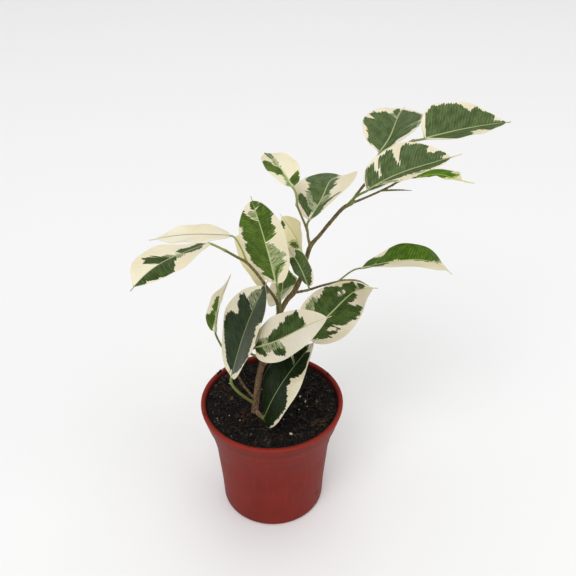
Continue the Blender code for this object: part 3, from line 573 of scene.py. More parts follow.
def leaf_mesh(leaf, number, mat):
    along, face, side = blade_frame(leaf)
    base = np.array(leaf.base, float)
    foot = np.array(leaf.foot, float)
    length = float(np.linalg.norm(np.array(leaf.tip, float) - base))
    share = np.linspace(0.0, 1.0, max(int(length / STATION_GAP), FEWEST_STATIONS))
    u = share * EVEN_SPACING + (1.0 - np.cos(np.pi * share)) / 2.0 * (1.0 - EVEN_SPACING)
    t = ring_shares()
    step = 0.001
    way = unit(rib_points(leaf, np.minimum(u + step, 1.0), face, side)
               - rib_points(leaf, np.maximum(u - step, 0.0), face, side))
    normal = unit(face - way * (way @ face)[:, None])
    turn = np.radians(leaf.twist * (u - 0.5))[:, None]
    normal = normal * np.cos(turn) + np.cross(way, normal) * np.sin(turn)
    across = np.cross(way, normal)
    centre = rib_points(leaf, u, face, side)

    # The blade: folded at the rib, waved at the edges, with a groove above the rib and a ridge below it.
    widths = [blade_width(u, hand, leaf) for hand in (0, 1)]
    width = np.where(t[None] > 0.0, widths[1][:, None], widths[0][:, None])
    fold = np.radians(np.where(t > 0.0, leaf.fold[1], leaf.fold[0]))[None]
    reach = width * t[None]
    phase = WAVE_STEP * number
    wave = np.sin(2 * np.pi * WAVES * u[:, None] + phase + WAVE_LEAN * t[None]) * np.sin(np.pi * u)[:, None]
    gap = np.abs(reach)
    vein = u[:, None] * length - VEIN_SLANT * gap
    ripple = np.cos(2 * np.pi * vein / RIPPLE_GAP) * smooth(gap / 1.5) * smooth((width - gap) / 2.0)
    lift = gap * np.sin(fold) + WAVE_HEIGHT * wave * t[None] ** 2 + VEIN_RELIEF * ripple
    surface = (centre[:, None] + across[:, None] * (reach * np.cos(fold))[..., None]
               + normal[:, None] * lift[..., None])
    thick = THICKNESS * (1.0 - EDGE_THINNING * np.abs(t[None]) ** 6) * np.ones_like(reach)
    groove = GROOVE_DEPTH * np.exp(-(gap / GROOVE_WIDTH) ** 2) * (1.0 - u[:, None])
    ridge_width = 0.1 + 0.5 * leaf.stalk
    ridge = leaf.stalk * (RIDGE_AT_TIP + RIDGE_GAIN * (1.0 - u[:, None])) * np.exp(-(gap / ridge_width) ** 2)
    top = surface + normal[:, None] * (thick / 2 - groove)[..., None]
    under = surface - normal[:, None] * (thick / 2 + ridge)[..., None]
    blade = np.concatenate((top, under[:, ::-1]), 1)

    # The stalk, from inside the bark to the blade, and a round start of the blade.
    control = base - along * np.linalg.norm(base - foot) * leaf.lead
    s = np.linspace(0.0, 1.0, STALK_STATIONS, endpoint=False)[:, None]
    line = foot * (1 - s) ** 2 + control * 2 * s * (1 - s) + base * s * s
    line = np.vstack((line, centre[:1]))
    ways, ups = carried_normals(line[::-1], normal[0])
    ways, ups = -ways[::-1], ups[::-1]
    sides = np.cross(ways, ups)
    lean = np.concatenate((t, t[::-1] * UNDER_REACH)) * np.pi / 2
    sign = np.repeat((1.0, -1.0), len(t))

    def circle(mid, up, out, radius):
        return (mid[:, None] + out[:, None] * (radius[:, None] * np.sin(lean)[None])[..., None]
                + up[:, None] * (radius[:, None] * (sign * np.cos(lean))[None])[..., None])

    swell = leaf.stalk * (STALK_SIZE + STALK_FOOT * (1.0 - smooth(s[:, 0] / 0.15)))
    stalk = circle(line[:-1], ups[:-1], sides[:-1], swell)
    start = circle(centre, normal, across, np.full(len(u), STALK_SIZE * leaf.stalk))
    mix = smooth(u / STALK_BLEND)[:, None, None]
    rings = np.concatenate((stalk, start * (1.0 - mix) + blade * mix))
    fields = leaf_fields(leaf, u, t, length, vein, gap, width - gap)
    faces = grid_faces(len(rings), 2 * len(t))
    return mesh_object(leaf.name + "_blade", rings.reshape(-1, 3), faces, mat, fields)


def leaf_fields(leaf, u, t, length, vein, gap, margin):
    """Values for the material: distances into the zones and from the veins, and which part a point is of."""
    half_width = np.where(t > 0.0, leaf.half[1], leaf.half[0])
    flat = np.broadcast_arrays(u[:, None] * length, (t * half_width)[None])
    flat_points = np.stack(flat, -1).reshape(-1, 2)
    ones = np.ones_like(gap)

    def zone(table):
        outlines = [[(a / 100 * length, b / 100 * leaf.half[int(b > 0)]) for a, b in outline]
                    for outline in table.get(leaf.name, ())]
        return inside_distance(flat_points, outlines).reshape(gap.shape)

    def both_sides(over, under, stalk_value):
        """A field of the top and the underside, after that of the stalk."""
        head = np.broadcast_to(np.array(stalk_value, float), (STALK_STATIONS, 2 * len(t), 3))
        return np.concatenate((head, np.concatenate((over, under[:, ::-1]), 1))).reshape(-1, 3)

    zones = np.stack((np.minimum(zone(GREEN), -zone(STREAKS)), zone(GREY), ones * u[:, None]), -1)
    veins = np.stack((vein, gap, margin), -1)
    near_stalk = ones * (1.0 - smooth(u / 0.025))[:, None]
    parts = np.stack((near_stalk, 0.0 * ones, np.sign(t)[None] * ones), -1)
    return (("zone", both_sides(zones, zones, (0.0, 0.0, 0.0))),
            ("vein", both_sides(veins, veins, (0.0, 3.0, 3.0))),
            ("part", both_sides(parts, parts + (0.0, 1.0, 0.0), (1.0, 0.0, 0.0))))


# Materials

class Nodes:
    """Short ways of adding shader nodes to one material."""

    def __init__(self, name, specular=0.5):
        self.material = bpy.data.materials.new(name)
        self.material.use_nodes = True
        self.tree = self.material.node_tree
        self.shader = self.tree.nodes["Principled BSDF"]
        self.shader.inputs["Specular IOR Level"].default_value = specular

    def put(self, socket, value):
        if isinstance(value, bpy.types.NodeSocket):
            self.tree.links.new(value, socket)
        elif isinstance(value, tuple) and len(value) == 3 and socket.type == "RGBA":
            socket.default_value = (*value, 1.0)
        else:
            socket.default_value = value

    def add(self, kind, inputs=(), output=0, **settings):
        node = self.tree.nodes.new(kind)
        for key, value in settings.items():
            setattr(node, key, value)
        for key, value in dict(inputs).items():
            self.put(node.inputs[key], value)
        return node.outputs[output]

    def split(self, vector):
        node = self.tree.nodes.new("ShaderNodeSeparateXYZ")
        self.put(node.inputs[0], vector)
        return node.outputs[0], node.outputs[1], node.outputs[2]

    def field(self, name):
        """The three values of an attribute."""
        return self.split(self.add("ShaderNodeAttribute", output="Vector", attribute_name=name))

    def maths(self, operation, a, b=0.0, c=0.0):
        return self.add("ShaderNodeMath", {0: a, 1: b, 2: c}, operation=operation)

    def times(self, a, b):
        return self.maths("MULTIPLY", a, b)

    def plus(self, a, b):
        return self.maths("ADD", a, b)

    def scaled(self, x, factor, shift):
        """x times factor, plus shift."""
        return self.maths("MULTIPLY_ADD", x, factor, shift)

    def step(self, x, low, high, start=0.0, end=1.0):
        """A smooth step from start to end as x goes from low to high."""
        return self.add("ShaderNodeMapRange", {0: x, 1: low, 2: high, 3: start, 4: end},
                        interpolation_type="SMOOTHSTEP")

    def mix(self, factor, a, b):
        return self.add("ShaderNodeMix", {0: factor, 6: a, 7: b}, output=2, data_type="RGBA")

    def blend(self, x, low, high, a, b, share=1.0):
        """Colour a, which turns into b, or a share of it, as x goes from low to high."""
        return self.mix(self.step(x, low, high, 0.0, share), a, b)

    def vector(self, x, y, z):
        return self.add("ShaderNodeCombineXYZ", {0: x, 1: y, 2: z})

    def stretched(self, vector, factors):
        return self.add("ShaderNodeVectorMath", {0: vector, 1: factors}, operation="MULTIPLY")

    def noise(self, vector, scale, detail=2.0, roughness=0.5):
        inputs = {"Vector": vector, "Scale": scale, "Detail": detail, "Roughness": roughness}
        return self.add("ShaderNodeTexNoise", inputs)

    def place(self):
        """The object's own coordinates in millimetres."""
        coords = self.add("ShaderNodeTexCoord", output="Object")
        return self.add("ShaderNodeVectorMath", {0: coords, 3: 1.0 / MM}, operation="SCALE")

    def finish(self, colour, roughness, height=None, strength=0.3, distance=0.1):
        """Plug the colours in, with a bump whose height is given in millimetres."""
        self.put(self.shader.inputs["Base Color"], colour)
        self.put(self.shader.inputs["Roughness"], roughness)
        if height is not None:
            bump = {"Height": height, "Strength": strength, "Distance": distance * MM}
            self.put(self.shader.inputs["Normal"], self.add("ShaderNodeBump", bump))
        return self.material


# How glossy leaves are, and which kinds are duller.
LEAF_SPECULAR = 0.12
MATT = {"vivid": 0.02, "deepest": 0.08}
STALK_TONES = ((0.16, 0.20, 0.045), (0.30, 0.33, 0.10))

# A painted sheen: a pale grey reflection painted on the right half of a leaf, as a colour and the share of
# it.
PAINTED_SHEEN = {"leaf_low_left_dark": ((0.125, 0.140, 0.095), 0.45)}

# Teeth of a zone along the side veins, as (width, depth, roundness) in millimetres.
SMALL_TEETH = (0.95, 0.75, 0.5)
LARGE_TEETH = (2.7, 0.7, 0.3)
PALE_TEETH = (0.8, 0.9, 0.3)


def between(a, b, share):
    """The colour at a share of the way from b to a."""
    return tuple(share * x + (1.0 - share) * y for x, y in zip(a, b))


def leaf_material(leaf, number):
    cream, grey, green, dark, rib, show = TONES[leaf.tones]
    n = Nodes(leaf.name, MATT.get(leaf.tones, LEAF_SPECULAR))
    inside, pale, along = n.field("zone")
    vein, gap, margin = n.field("vein")
    stalk, under, hand = n.field("part")
    own = n.scaled(hand, 3.1, 7.3 * number)

    def teeth(width, depth, roundness):
        """Teeth of random depth along the side veins, each with a round end."""
        along_veins = n.scaled(vein, 1.0 / width, own)
        toss = n.add("ShaderNodeTexWhiteNoise", {"W": n.maths("FLOOR", along_veins)}, noise_dimensions="1D")
        across = n.scaled(n.maths("FRACT", along_veins), 2.0, -1.0)
        bow = n.times(n.times(across, across), -roundness)
        return n.plus(n.scaled(toss, depth, 0.5 * roundness - 0.5 * depth), bow)

    streaks = n.vector(vein, n.times(gap, 0.16), own)
    soft = n.scaled(n.noise(streaks, 0.6, 3.0, 0.6), 1.6, -0.8)
    jag = n.plus(n.plus(teeth(*SMALL_TEETH), teeth(*LARGE_TEETH)), soft)
    green_mask = n.step(n.scaled(jag, n.step(gap, 0.1, 0.9), inside), -0.07, 0.07)
    feather = n.scaled(n.noise(streaks, 2.2, 3.0, 0.7), 3.6, -1.8)
    pale_mask = n.step(n.plus(n.plus(pale, feather), teeth(*PALE_TEETH)), -0.1, 0.15)

    # The three zones' own colours: white, mid (grey-green) and full (green).
    place = n.vector(vein, gap, own)
    cloud = n.noise(place, 0.11, 2.0)
    lit_cream = tuple(c * f for c, f in zip(cream, (1.05, 1.09, 1.2)))
    white = n.blend(cloud, 0.35, 0.7, cream, lit_cream)
    streaky = n.noise(streaks, 2.4, 4.0, 0.7)
    mid = n.blend(streaky, 0.42, 0.62, grey, between(grey, cream, 0.55))
    mid = n.blend(streaky, 0.48, 0.38, mid, green, 0.85)
    blotch = n.noise(place, 0.35, 3.0, 0.6)
    full = n.blend(blotch, 0.35, 0.65, dark, green)
    full = n.blend(streaky, 0.48, 0.34, full, tuple(0.6 * d for d in dark), 0.7)
    full = n.blend(streaky, 0.52, 0.75, full, grey, 0.4)
    # Painted sheen: the right half of the dark leaf is made paler, standing for light reflected off its
    # glossy surface.
    if leaf.name in PAINTED_SHEEN:
        tone, share = PAINTED_SHEEN[leaf.name]
        painted_sheen_mask = n.times(n.step(hand, 0.0, 0.8), n.step(streaky, 0.35, 0.6, 0.5 * share, share))
        full = n.mix(n.times(painted_sheen_mask, n.step(along, 0.8, 0.3, 0.5, 1.0)), full, tone)

    # Side veins are thin lines that fade towards the margin.
    wander = n.noise(place, 0.5, 1.0)
    phase = n.maths("DIVIDE", n.scaled(wander, 0.8, vein), VEIN_GAP)
    saw = n.maths("ABSOLUTE", n.maths("SUBTRACT", n.maths("FRACT", phase), 0.5))
    line = n.times(n.step(saw, 0.22, 0.02), n.step(margin, 0.3, 1.2))
    line = n.times(line, n.step(blotch, 0.3, 0.6, 0.35, 1.0))
    full = n.mix(n.times(line, show), full, between(green, rib, 0.6))
    white = n.mix(n.times(line, 0.10), white, mid)

    # The zones together, then the rib, the rim, the paler underside and the stalk.
    colour = n.mix(pale_mask, white, mid)
    colour = n.mix(green_mask, colour, full)
    rib_width = n.scaled(along, -0.26, 0.36)
    rib_mask = n.step(n.maths("SUBTRACT", gap, rib_width), 0.1, -0.1)
    colour = n.mix(n.times(rib_mask, n.step(along, 0.96, 0.8, 0.3, 0.9)), colour, rib)
    rim = n.step(margin, 0.22, 0.05)
    colour = n.mix(n.times(rim, 0.5), colour, between(cream, rib, 0.75))
    back = n.mix(UNDERSIDE.get(leaf.tones, UNDERSIDE_SHARE), colour, between(grey, cream, 0.5))
    colour = n.mix(under, colour, back)
    colour = n.mix(stalk, colour, n.blend(n.noise(place, 0.6), 0.35, 0.65, *STALK_TONES))

    gloss = n.scaled(under, 0.16, n.scaled(blotch, 0.16, 0.34))
    height = n.scaled(line, -0.9, n.times(n.noise(place, 5.0), 0.35))
    return n.finish(colour, gloss, height, 0.35, 0.12)


def make_leaves():
    for number, leaf in enumerate(LEAVES):
        piece = leaf_mesh(leaf, number, leaf_material(leaf, number))
        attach(piece, "root")
        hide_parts(leaf.name)


# Woody stem

STEM_SIDES = 24
STEM_STEPS = 14
STEM_VOXEL = 0.17
STEM_END = 0.4
FIRST_NORMAL = np.array((0.0, -1.0, 0.2))
BATCH = 4000

# Yellow-brown joints where leaves and branches grow from the wood, as (x, y, z, radius).
JOINTS = (
    (30.2, 9.0, 143.1, 1.5), (52.4, 17.2, 164.1, 1.5), (14.0, 5.1, 133.4, 0.9), (15.3, 6.0, 126.3, 1.0),
    (27.0, 7.5, 109.5, 1.1), (3.8, 0.8, 99.8, 1.0), (9.6, 2.8, 145.2, 0.8),
)

# Tones of the wood, each from dark to light.
OLD_WOOD = ((0.075, 0.036, 0.018), (0.31, 0.185, 0.110))
YOUNG_WOOD = ((0.076, 0.053, 0.016), (0.210, 0.158, 0.052))
GREEN_WOOD = ((0.125, 0.122, 0.028), (0.310, 0.280, 0.085))
JOINT_WOOD = ((0.22, 0.16, 0.03), (0.42, 0.34, 0.09))
PALE_FLAKES = (0.48, 0.34, 0.23)
LEAF_SCARS = (0.30, 0.24, 0.12)


def bark_material():
    n = Nodes("bark", 0.25)
    age, _, along = n.field("wood")
    place = n.place()
    rough = n.noise(place, 1.1, 5.0, 0.75)
    grain = n.noise(n.stretched(place, (1.0, 1.0, 0.25)), 2.4, 3.0, 0.6)
    ring = n.step(n.noise(n.vector(0.0, 0.0, along), 1.3, 3.0, 0.7), 0.62, 0.72)
    old = n.blend(rough, 0.38, 0.62, *OLD_WOOD)
    old = n.blend(grain, 0.52, 0.72, old, PALE_FLAKES, 0.7)
    young = n.blend(grain, 0.35, 0.65, *YOUNG_WOOD)
    green = n.blend(grain, 0.3, 0.7, *GREEN_WOOD)
    joint = n.blend(rough, 0.4, 0.6, *JOINT_WOOD)
    colour = n.blend(age, 0.25, 0.5, green, young)
    colour = n.blend(age, 0.7, 0.95, colour, old)
    colour = n.mix(n.times(ring, 0.35), colour, LEAF_SCARS)
    colour = n.blend(age, -0.1, -0.7, colour, joint)
    height = n.plus(rough, n.times(grain, 0.7))
    return n.finish(colour, n.step(age, 0.4, 1.0, 0.5, 0.8), height, 0.6, 0.25)


def stem_tubes():
    """The tubes of all the wood, and points on their lines with age, radius and distance along."""
    verts, faces, samples = [], [], []
    for age, route in STEMS.values():
        points = smooth_route(route, STEM_STEPS)
        points = np.vstack((points[:1], points, points[-1:]))
        points[0, 3] *= STEM_END
        points[-1, 3] *= STEM_END
        ways = unit(np.gradient(points[1:-1, :3], axis=0))
        points[0, :3] -= ways[0] * points[1, 3] * 0.5
        points[-1, :3] += ways[-1] * points[-2, 3] * 0.5
        start = sum(len(v) for v in verts)
        verts.append(tube_rings(points[:, :3], points[:, 3:], FIRST_NORMAL, STEM_SIDES).reshape(-1, 3))
        faces += [tuple(start + k for k in f) for f in grid_faces(len(points), STEM_SIDES)]
        run = np.concatenate(([0.0], np.cumsum(np.linalg.norm(np.diff(points[:, :3], axis=0), axis=1))))
        fade = np.clip(1.0 - 0.25 * run / max(run[-1], 1.0), 0.0, 1.0)
        samples.append(np.column_stack((points[:, :3], age * fade, points[:, 3], run + 31.0 * len(samples))))
    return np.vstack(verts), faces, np.vstack(samples)


def point_values(mesh, name):
    values = np.zeros(len(mesh.vertices) * 3, np.float32)
    mesh.vertices.foreach_get(name, values)
    return values.reshape(-1, 3).astype(float)


def noise_at(points, scale, shift=0.0):
    return np.array([noise.noise(Vector((x * scale[0], y * scale[1], z * scale[2] + shift)))
                     for x, y, z in points])


def make_stem():
    """All the wood as one skin: tubes joined by a fine remesh, then roughened."""
    verts, faces, line = stem_tubes()
    stem = mesh_object("stem_wood", verts, faces, bark_material())
    remesh = stem.modifiers.new("skin", "REMESH")
    remesh.mode = "VOXEL"
    remesh.voxel_size = STEM_VOXEL * MM
    relax = stem.modifiers.new("relax", "SMOOTH")
    relax.iterations = 3
    relax.factor = 0.5
    skin = apply_modifiers(stem)
    skin.shade_smooth()
    co = point_values(skin, "co") / MM
    normals = point_values(skin, "normal")
    field = np.zeros((len(co), 3))
    for k in range(0, len(co), BATCH):
        gap = ((co[k:k + BATCH, None] - line[None, :, :3]) ** 2).sum(-1) - (line[None, :, 4] * 0.8) ** 2
        field[k:k + BATCH] = line[gap.argmin(1)][:, 3:]
    for x, y, z, radius in JOINTS:
        gap = np.linalg.norm(co - (x, y, z), axis=1)
        field[:, 0] -= 2.0 * (1.0 - smooth(gap / radius))
    bumps = noise_at(co, (0.9, 0.9, 0.45))
    crumbs = noise_at(co, (2.4, 2.4, 1.6), 9.0)
    rings = np.sin(field[:, 2] * 2.1) ** 12
    height = (0.11 * bumps + 0.06 * crumbs) * smooth((field[:, 0] - 0.2) / 0.7) + 0.05 * rings
    co = co + normals * (height * smooth(field[:, 1] / 0.5))[:, None]
    skin.vertices.foreach_set("co", (co * MM).astype(np.float32).ravel())
    set_field(skin, "wood", field)
    skin.update()
    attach(stem, "root")
    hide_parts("stem")


# Pot

POT_SIDES = 128
DRAIN_SIDES = 32
WELD = 0.004
ROUND_STEPS = 4
SHARP_ANGLE = 50
LIP_INSIDE = 53.0

# Small dark specks on the pot's front, as (degrees from the front to the right, height, size).
SPECKS = ((34, 35, 0.5), (37, 20, 0.45), (59, 9, 0.8), (-30, 29, 0.35), (12, 41, 0.3))

# Tones of the plastic, with painted light on the top of the lip and painted shade inside the lip.
POT_RED = ((0.176, 0.0155, 0.0095), (0.212, 0.020, 0.013))
POT_STREAK = (0.26, 0.032, 0.022)
LIT_LIP_RED = (0.38, 0.038, 0.024)
LIP_SHADE_RED = (0.085, 0.010, 0.007)
DUST = (0.05, 0.02, 0.015)
SPECK = (0.06, 0.012, 0.008)


def pot_material():
    n = Nodes("pot_plastic", 0.1)
    place = n.place()
    x, y, high = n.split(place)
    cloud = n.noise(place, 0.09, 3.0, 0.6)
    streak = n.noise(n.stretched(place, (1.0, 1.0, 0.12)), 0.5, 3.0, 0.6)
    base = n.blend(cloud, 0.3, 0.7, *POT_RED)
    base = n.blend(streak, 0.5, 0.75, base, POT_STREAK, 0.3)
    # Painted light: the top of the lip is a lighter red, where light from above falls on it.
    base = n.blend(high, 53.0, 54.2, base, LIT_LIP_RED, 0.5)
    dust_and_shade_noise = n.noise(place, 1.7, 4.0, 0.75)
    # Painted shade: a darker red inside the lip, with its edge made ragged by the same noise that places the
    # dust.
    radius = n.add("ShaderNodeVectorMath", {0: n.vector(x, y, 0.0)}, output=1, operation="LENGTH")
    radius = n.scaled(dust_and_shade_noise, -1.6, n.plus(radius, 0.8))
    inner_shade = n.times(n.step(radius, 29.7, 28.5), n.step(high, 48.0, 50.0))
    base = n.mix(n.times(inner_shade, 0.8), base, LIP_SHADE_RED)
    base = n.blend(dust_and_shade_noise, 0.68, 0.80, base, DUST, 0.35)
    for degrees, z, size in SPECKS:
        reach = FOOT_RADIUS + (RIM_RADIUS - FOOT_RADIUS) * z / POT_HEIGHT
        turn = math.radians(degrees)
        spot = (reach * math.sin(turn), -reach * math.cos(turn), z)
        gap = n.add("ShaderNodeVectorMath", {0: place, 1: spot}, output=1, operation="DISTANCE")
        gap = n.scaled(dust_and_shade_noise, 1.2, gap)
        base = n.blend(gap, size + 1.7, size + 1.4, base, SPECK, 0.75)
    height = n.plus(n.noise(place, 1.2), n.times(n.noise(place, 6.0), 0.3))
    return n.finish(base, n.scaled(cloud, 0.2, 0.42), height, 0.12, 0.1)


def rounded(rows):
    """The points of a profile of (radius, height, rounding), with its corners as short arcs."""
    pts = [np.array(row[:2], float) for row in rows]
    out = []
    for i, p in enumerate(pts):
        arc = rows[i][2]
        if arc <= 0.0 or i in (0, len(pts) - 1):
            out.append(p)
            continue
        before = unit(pts[i - 1] - p)
        after = unit(pts[i + 1] - p)
        for k in range(ROUND_STEPS + 1):
            s = k / ROUND_STEPS
            out.append(p + before * arc * (1 - s) ** 2 + after * arc * s ** 2)
    return out


def pot_rows():
    """The pot's profile, from the middle of its underside round the lip to the middle of its floor."""
    lip = RIM_RADIUS - RIM_WIDTH
    rows = [
        (0.0, 0.0, 0.0), (PAD_RADIUS, 0.0, 0.3), (PAD_RADIUS + RECESS, RECESS, 0.3),
        (FOOT_INNER_RADIUS - RECESS, RECESS, 0.3), (FOOT_INNER_RADIUS, 0.0, 0.3),
        (FOOT_RADIUS - RECESS, 0.0, 0.35), (*WALL_OUTSIDE[0], 0.35),
    ]
    rows += [(r, z, 0.9) for r, z in WALL_OUTSIDE[1:-1]]
    rows += [
        (*WALL_OUTSIDE[-1], 0.3), (27.5, 45.0, 0.12), (BAND_RADIUS, BAND_BOTTOM, 0.3),
        (RIM_RADIUS, 53.4, 0.5), (RIM_RADIUS, POT_HEIGHT, 0.45), (lip, POT_HEIGHT, 0.75),
        (lip - 0.1, LIP_INSIDE, 0.4),
    ]
    rows += [(r - WALL, z, 0.0) for r, z in WALL_OUTSIDE[:0:-1]]
    return rows + [(FOOT_RADIUS - WALL, FLOOR_TOP, 0.5), (0.0, FLOOR_TOP, 0.0)]


def drain_cutter(hole):
    turn = 2 * math.pi * (hole + 0.5) / DRAIN_HOLES
    reach = (PAD_RADIUS + FOOT_INNER_RADIUS) / 2 * MM
    bm = bmesh.new()
    bmesh.ops.create_cone(bm, cap_ends=True, segments=DRAIN_SIDES, radius1=DRAIN_RADIUS * MM,
                          radius2=DRAIN_RADIUS * MM, depth=8 * MM)
    bmesh.ops.translate(bm, verts=bm.verts, vec=(reach * math.cos(turn), reach * math.sin(turn), MM))
    return bmesh_object("drain", bm)


def make_pot():
    bm = bmesh.new()
    turn = 2 * np.pi * np.arange(POT_SIDES) / POT_SIDES
    rings = []
    for r, z in rounded(pot_rows()):
        angles = turn if r > 0.01 else turn[:1]
        rings.append([bm.verts.new((r * math.cos(a) * MM, r * math.sin(a) * MM, z * MM)) for a in angles])
    for low, high in zip(rings, rings[1:]):
        for i in range(POT_SIDES):
            j = (i + 1) % POT_SIDES
            loop = [low[i % len(low)], low[j % len(low)], high[j % len(high)], high[i % len(high)]]
            loop = [v for k, v in enumerate(loop) if v not in loop[:k]]
            if len(loop) > 2:
                bm.faces.new(loop)
    pot = bmesh_object("pot_body", bm, pot_material())
    cutters = [drain_cutter(hole) for hole in range(DRAIN_HOLES)]
    for cutter in cutters:
        mod = pot.modifiers.new("drain", "BOOLEAN")
        mod.object = cutter
        mod.operation = "DIFFERENCE"
    mesh = apply_modifiers(pot)
    bm = bmesh.new()
    bm.from_mesh(mesh)
    bmesh.ops.remove_doubles(bm, verts=bm.verts, dist=WELD * MM)
    bmesh.ops.dissolve_degenerate(bm, edges=bm.edges, dist=WELD * MM)
    bmesh.ops.holes_fill(bm, edges=bm.edges, sides=8)
    bm.to_mesh(mesh)
    bm.free()
    mesh.shade_smooth()
    mesh.set_sharp_from_angle(angle=math.radians(SHARP_ANGLE))
    for cutter in cutters:
        bpy.data.objects.remove(cutter)
    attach(pot, "root")
    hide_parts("pot")


# Soil

PERLITE = ((12, 5, 0.55), (14, 1, 0.7), (15, -1, 0.45), (11.5, -2.5, 0.4), (8, -19, 0.7), (20.5, 20.5, 0.5),
           (-2, -21.5, 0.35), (-13.5, -9.5, 0.3), (-6, 17, 0.45), (-19, 12, 0.4), (2, 14, 0.5), (5, -9, 0.3))
BROWN_BITS = ((19, 0.5, 1.3), (-17.5, 3, 1.1), (18, -13, 0.7), (-3.2, -9.6, 0.8))

# Crumbs on the lip, as (degrees anticlockwise from +X, size, shade).
LIP_CRUMBS = ((143, 0.9, 0.0), (146, 0.6, 0.0), (140.5, 0.45, 0.7), (33, 0.7, 0.0), (30.5, 0.4, 0.0),
              (198, 0.4, 0.0), (200.5, 0.3, 0.2), (253, 0.3, 0.0))
LIP_MIDDLE = 29.2

# How many loose pieces lie on the soil, and where the clump of fibres is, as (x, y, reach).
CLODS = 150
CRUMBS = 1500
GRAINS = 45
FIBRES = 170
CLUMP_FIBRES = 14
FIBRE_CLUMP = (18.5, -13.0, 4.5)
FIBRE_SIDES = 5
FIBRE_STEPS = 6
FIBRE_LIFT = 0.45
FIBRE_BOW = 0.4
BALL_SIDES = 150
TOP_RINGS = 62
SETTLE = 0.4
LUMPS = 1.2
CRUMB_SHARP_ANGLE = 35

# Shades of loose pieces, which the material turns into tones.
PEAT_SHADE = 0.0
BALL_SHADE = 0.05
BIT_SHADE = 0.35
PERLITE_SHADE = 0.7
RUSTY_SHADE = 1.0

# Tones of the soil, single or from dark to light.
PEAT = ((0.0010, 0.0007, 0.0006), (0.0085, 0.0058, 0.0045))
DRY_PATCH = (0.020, 0.014, 0.010)
# The glint tone is painted light: pale specks for light caught on the edges of wet crumbs.
PAINTED_GLINTS = (0.100, 0.082, 0.064)
DRY_PEAT = (0.075, 0.060, 0.048)
BROWN = ((0.050, 0.032, 0.016), (0.17, 0.115, 0.055))
PALE = ((0.42, 0.39, 0.34), (0.72, 0.70, 0.64))
RUSTY = ((0.08, 0.032, 0.016), (0.24, 0.105, 0.050))


def soil_height(x, y):
    reach = min(math.hypot(x, y) / DISH_RADIUS, 1.0)
    here = Vector((x, y, 0.0))
    lumps = 0.5 * noise.noise(here * 0.16) + 0.6 * noise.noise(here * 0.42) + 0.3 * noise.noise(here * 1.2)
    return SOIL_LEVEL - SOIL_DISH * (1.0 - reach ** 3) - SETTLE + LUMPS * lumps


def soil_material():
    n = Nodes("peat_soil", 0.25)
    tint, damp, dry = n.field("crumb")
    place = n.place()
    grit = n.noise(place, 2.8, 4.0, 0.7)
    patch = n.noise(place, 0.25, 3.0, 0.6)
    fine = n.noise(place, 4.5, 3.0, 0.8)
    coarse = n.step(grit, 0.35, 0.7)
    dark = n.mix(coarse, *PEAT)
    dark = n.blend(patch, 0.50, 0.68, dark, DRY_PATCH, 0.6)
    # Painted glints: fine pale specks standing for light caught on the crumbs' edges.
    dark = n.blend(fine, 0.60, 0.68, dark, PAINTED_GLINTS, 0.8)
    dark = n.mix(n.times(dry, 0.8), dark, DRY_PEAT)
    colour = n.blend(tint, 0.15, 0.4, dark, n.mix(coarse, *BROWN))
    colour = n.blend(tint, 0.5, 0.6, colour, n.blend(grit, 0.3, 0.7, *PALE))
    colour = n.blend(tint, 0.85, 0.95, colour, n.mix(coarse, *RUSTY))
    return n.finish(colour, n.scaled(damp, -0.6, 0.95), grit, 0.8, 0.3)


def root_ball():
    """Rings of points round a turned body whose top is uneven."""
    low = FLOOR_TOP + 0.05
    body = [(0.0, low)] + [(r - WALL - 0.05, max(z, low)) for r, z in WALL_OUTSIDE]
    body.append((SOIL_RADIUS, SOIL_LEVEL - 0.6))
    rings = [(r, z, False) for r, z in body]
    rings += [(r, 0.0, True) for r in np.linspace(SOIL_RADIUS, 0.3, TOP_RINGS)]
    points = []
    for r, z, top in rings:
        for i in range(BALL_SIDES):
            a = 2 * math.pi * i / BALL_SIDES
            x, y = r * math.cos(a), r * math.sin(a)
            points.append((x, y, soil_height(x, y) if top else z))
    return points, grid_faces(len(rings), BALL_SIDES)


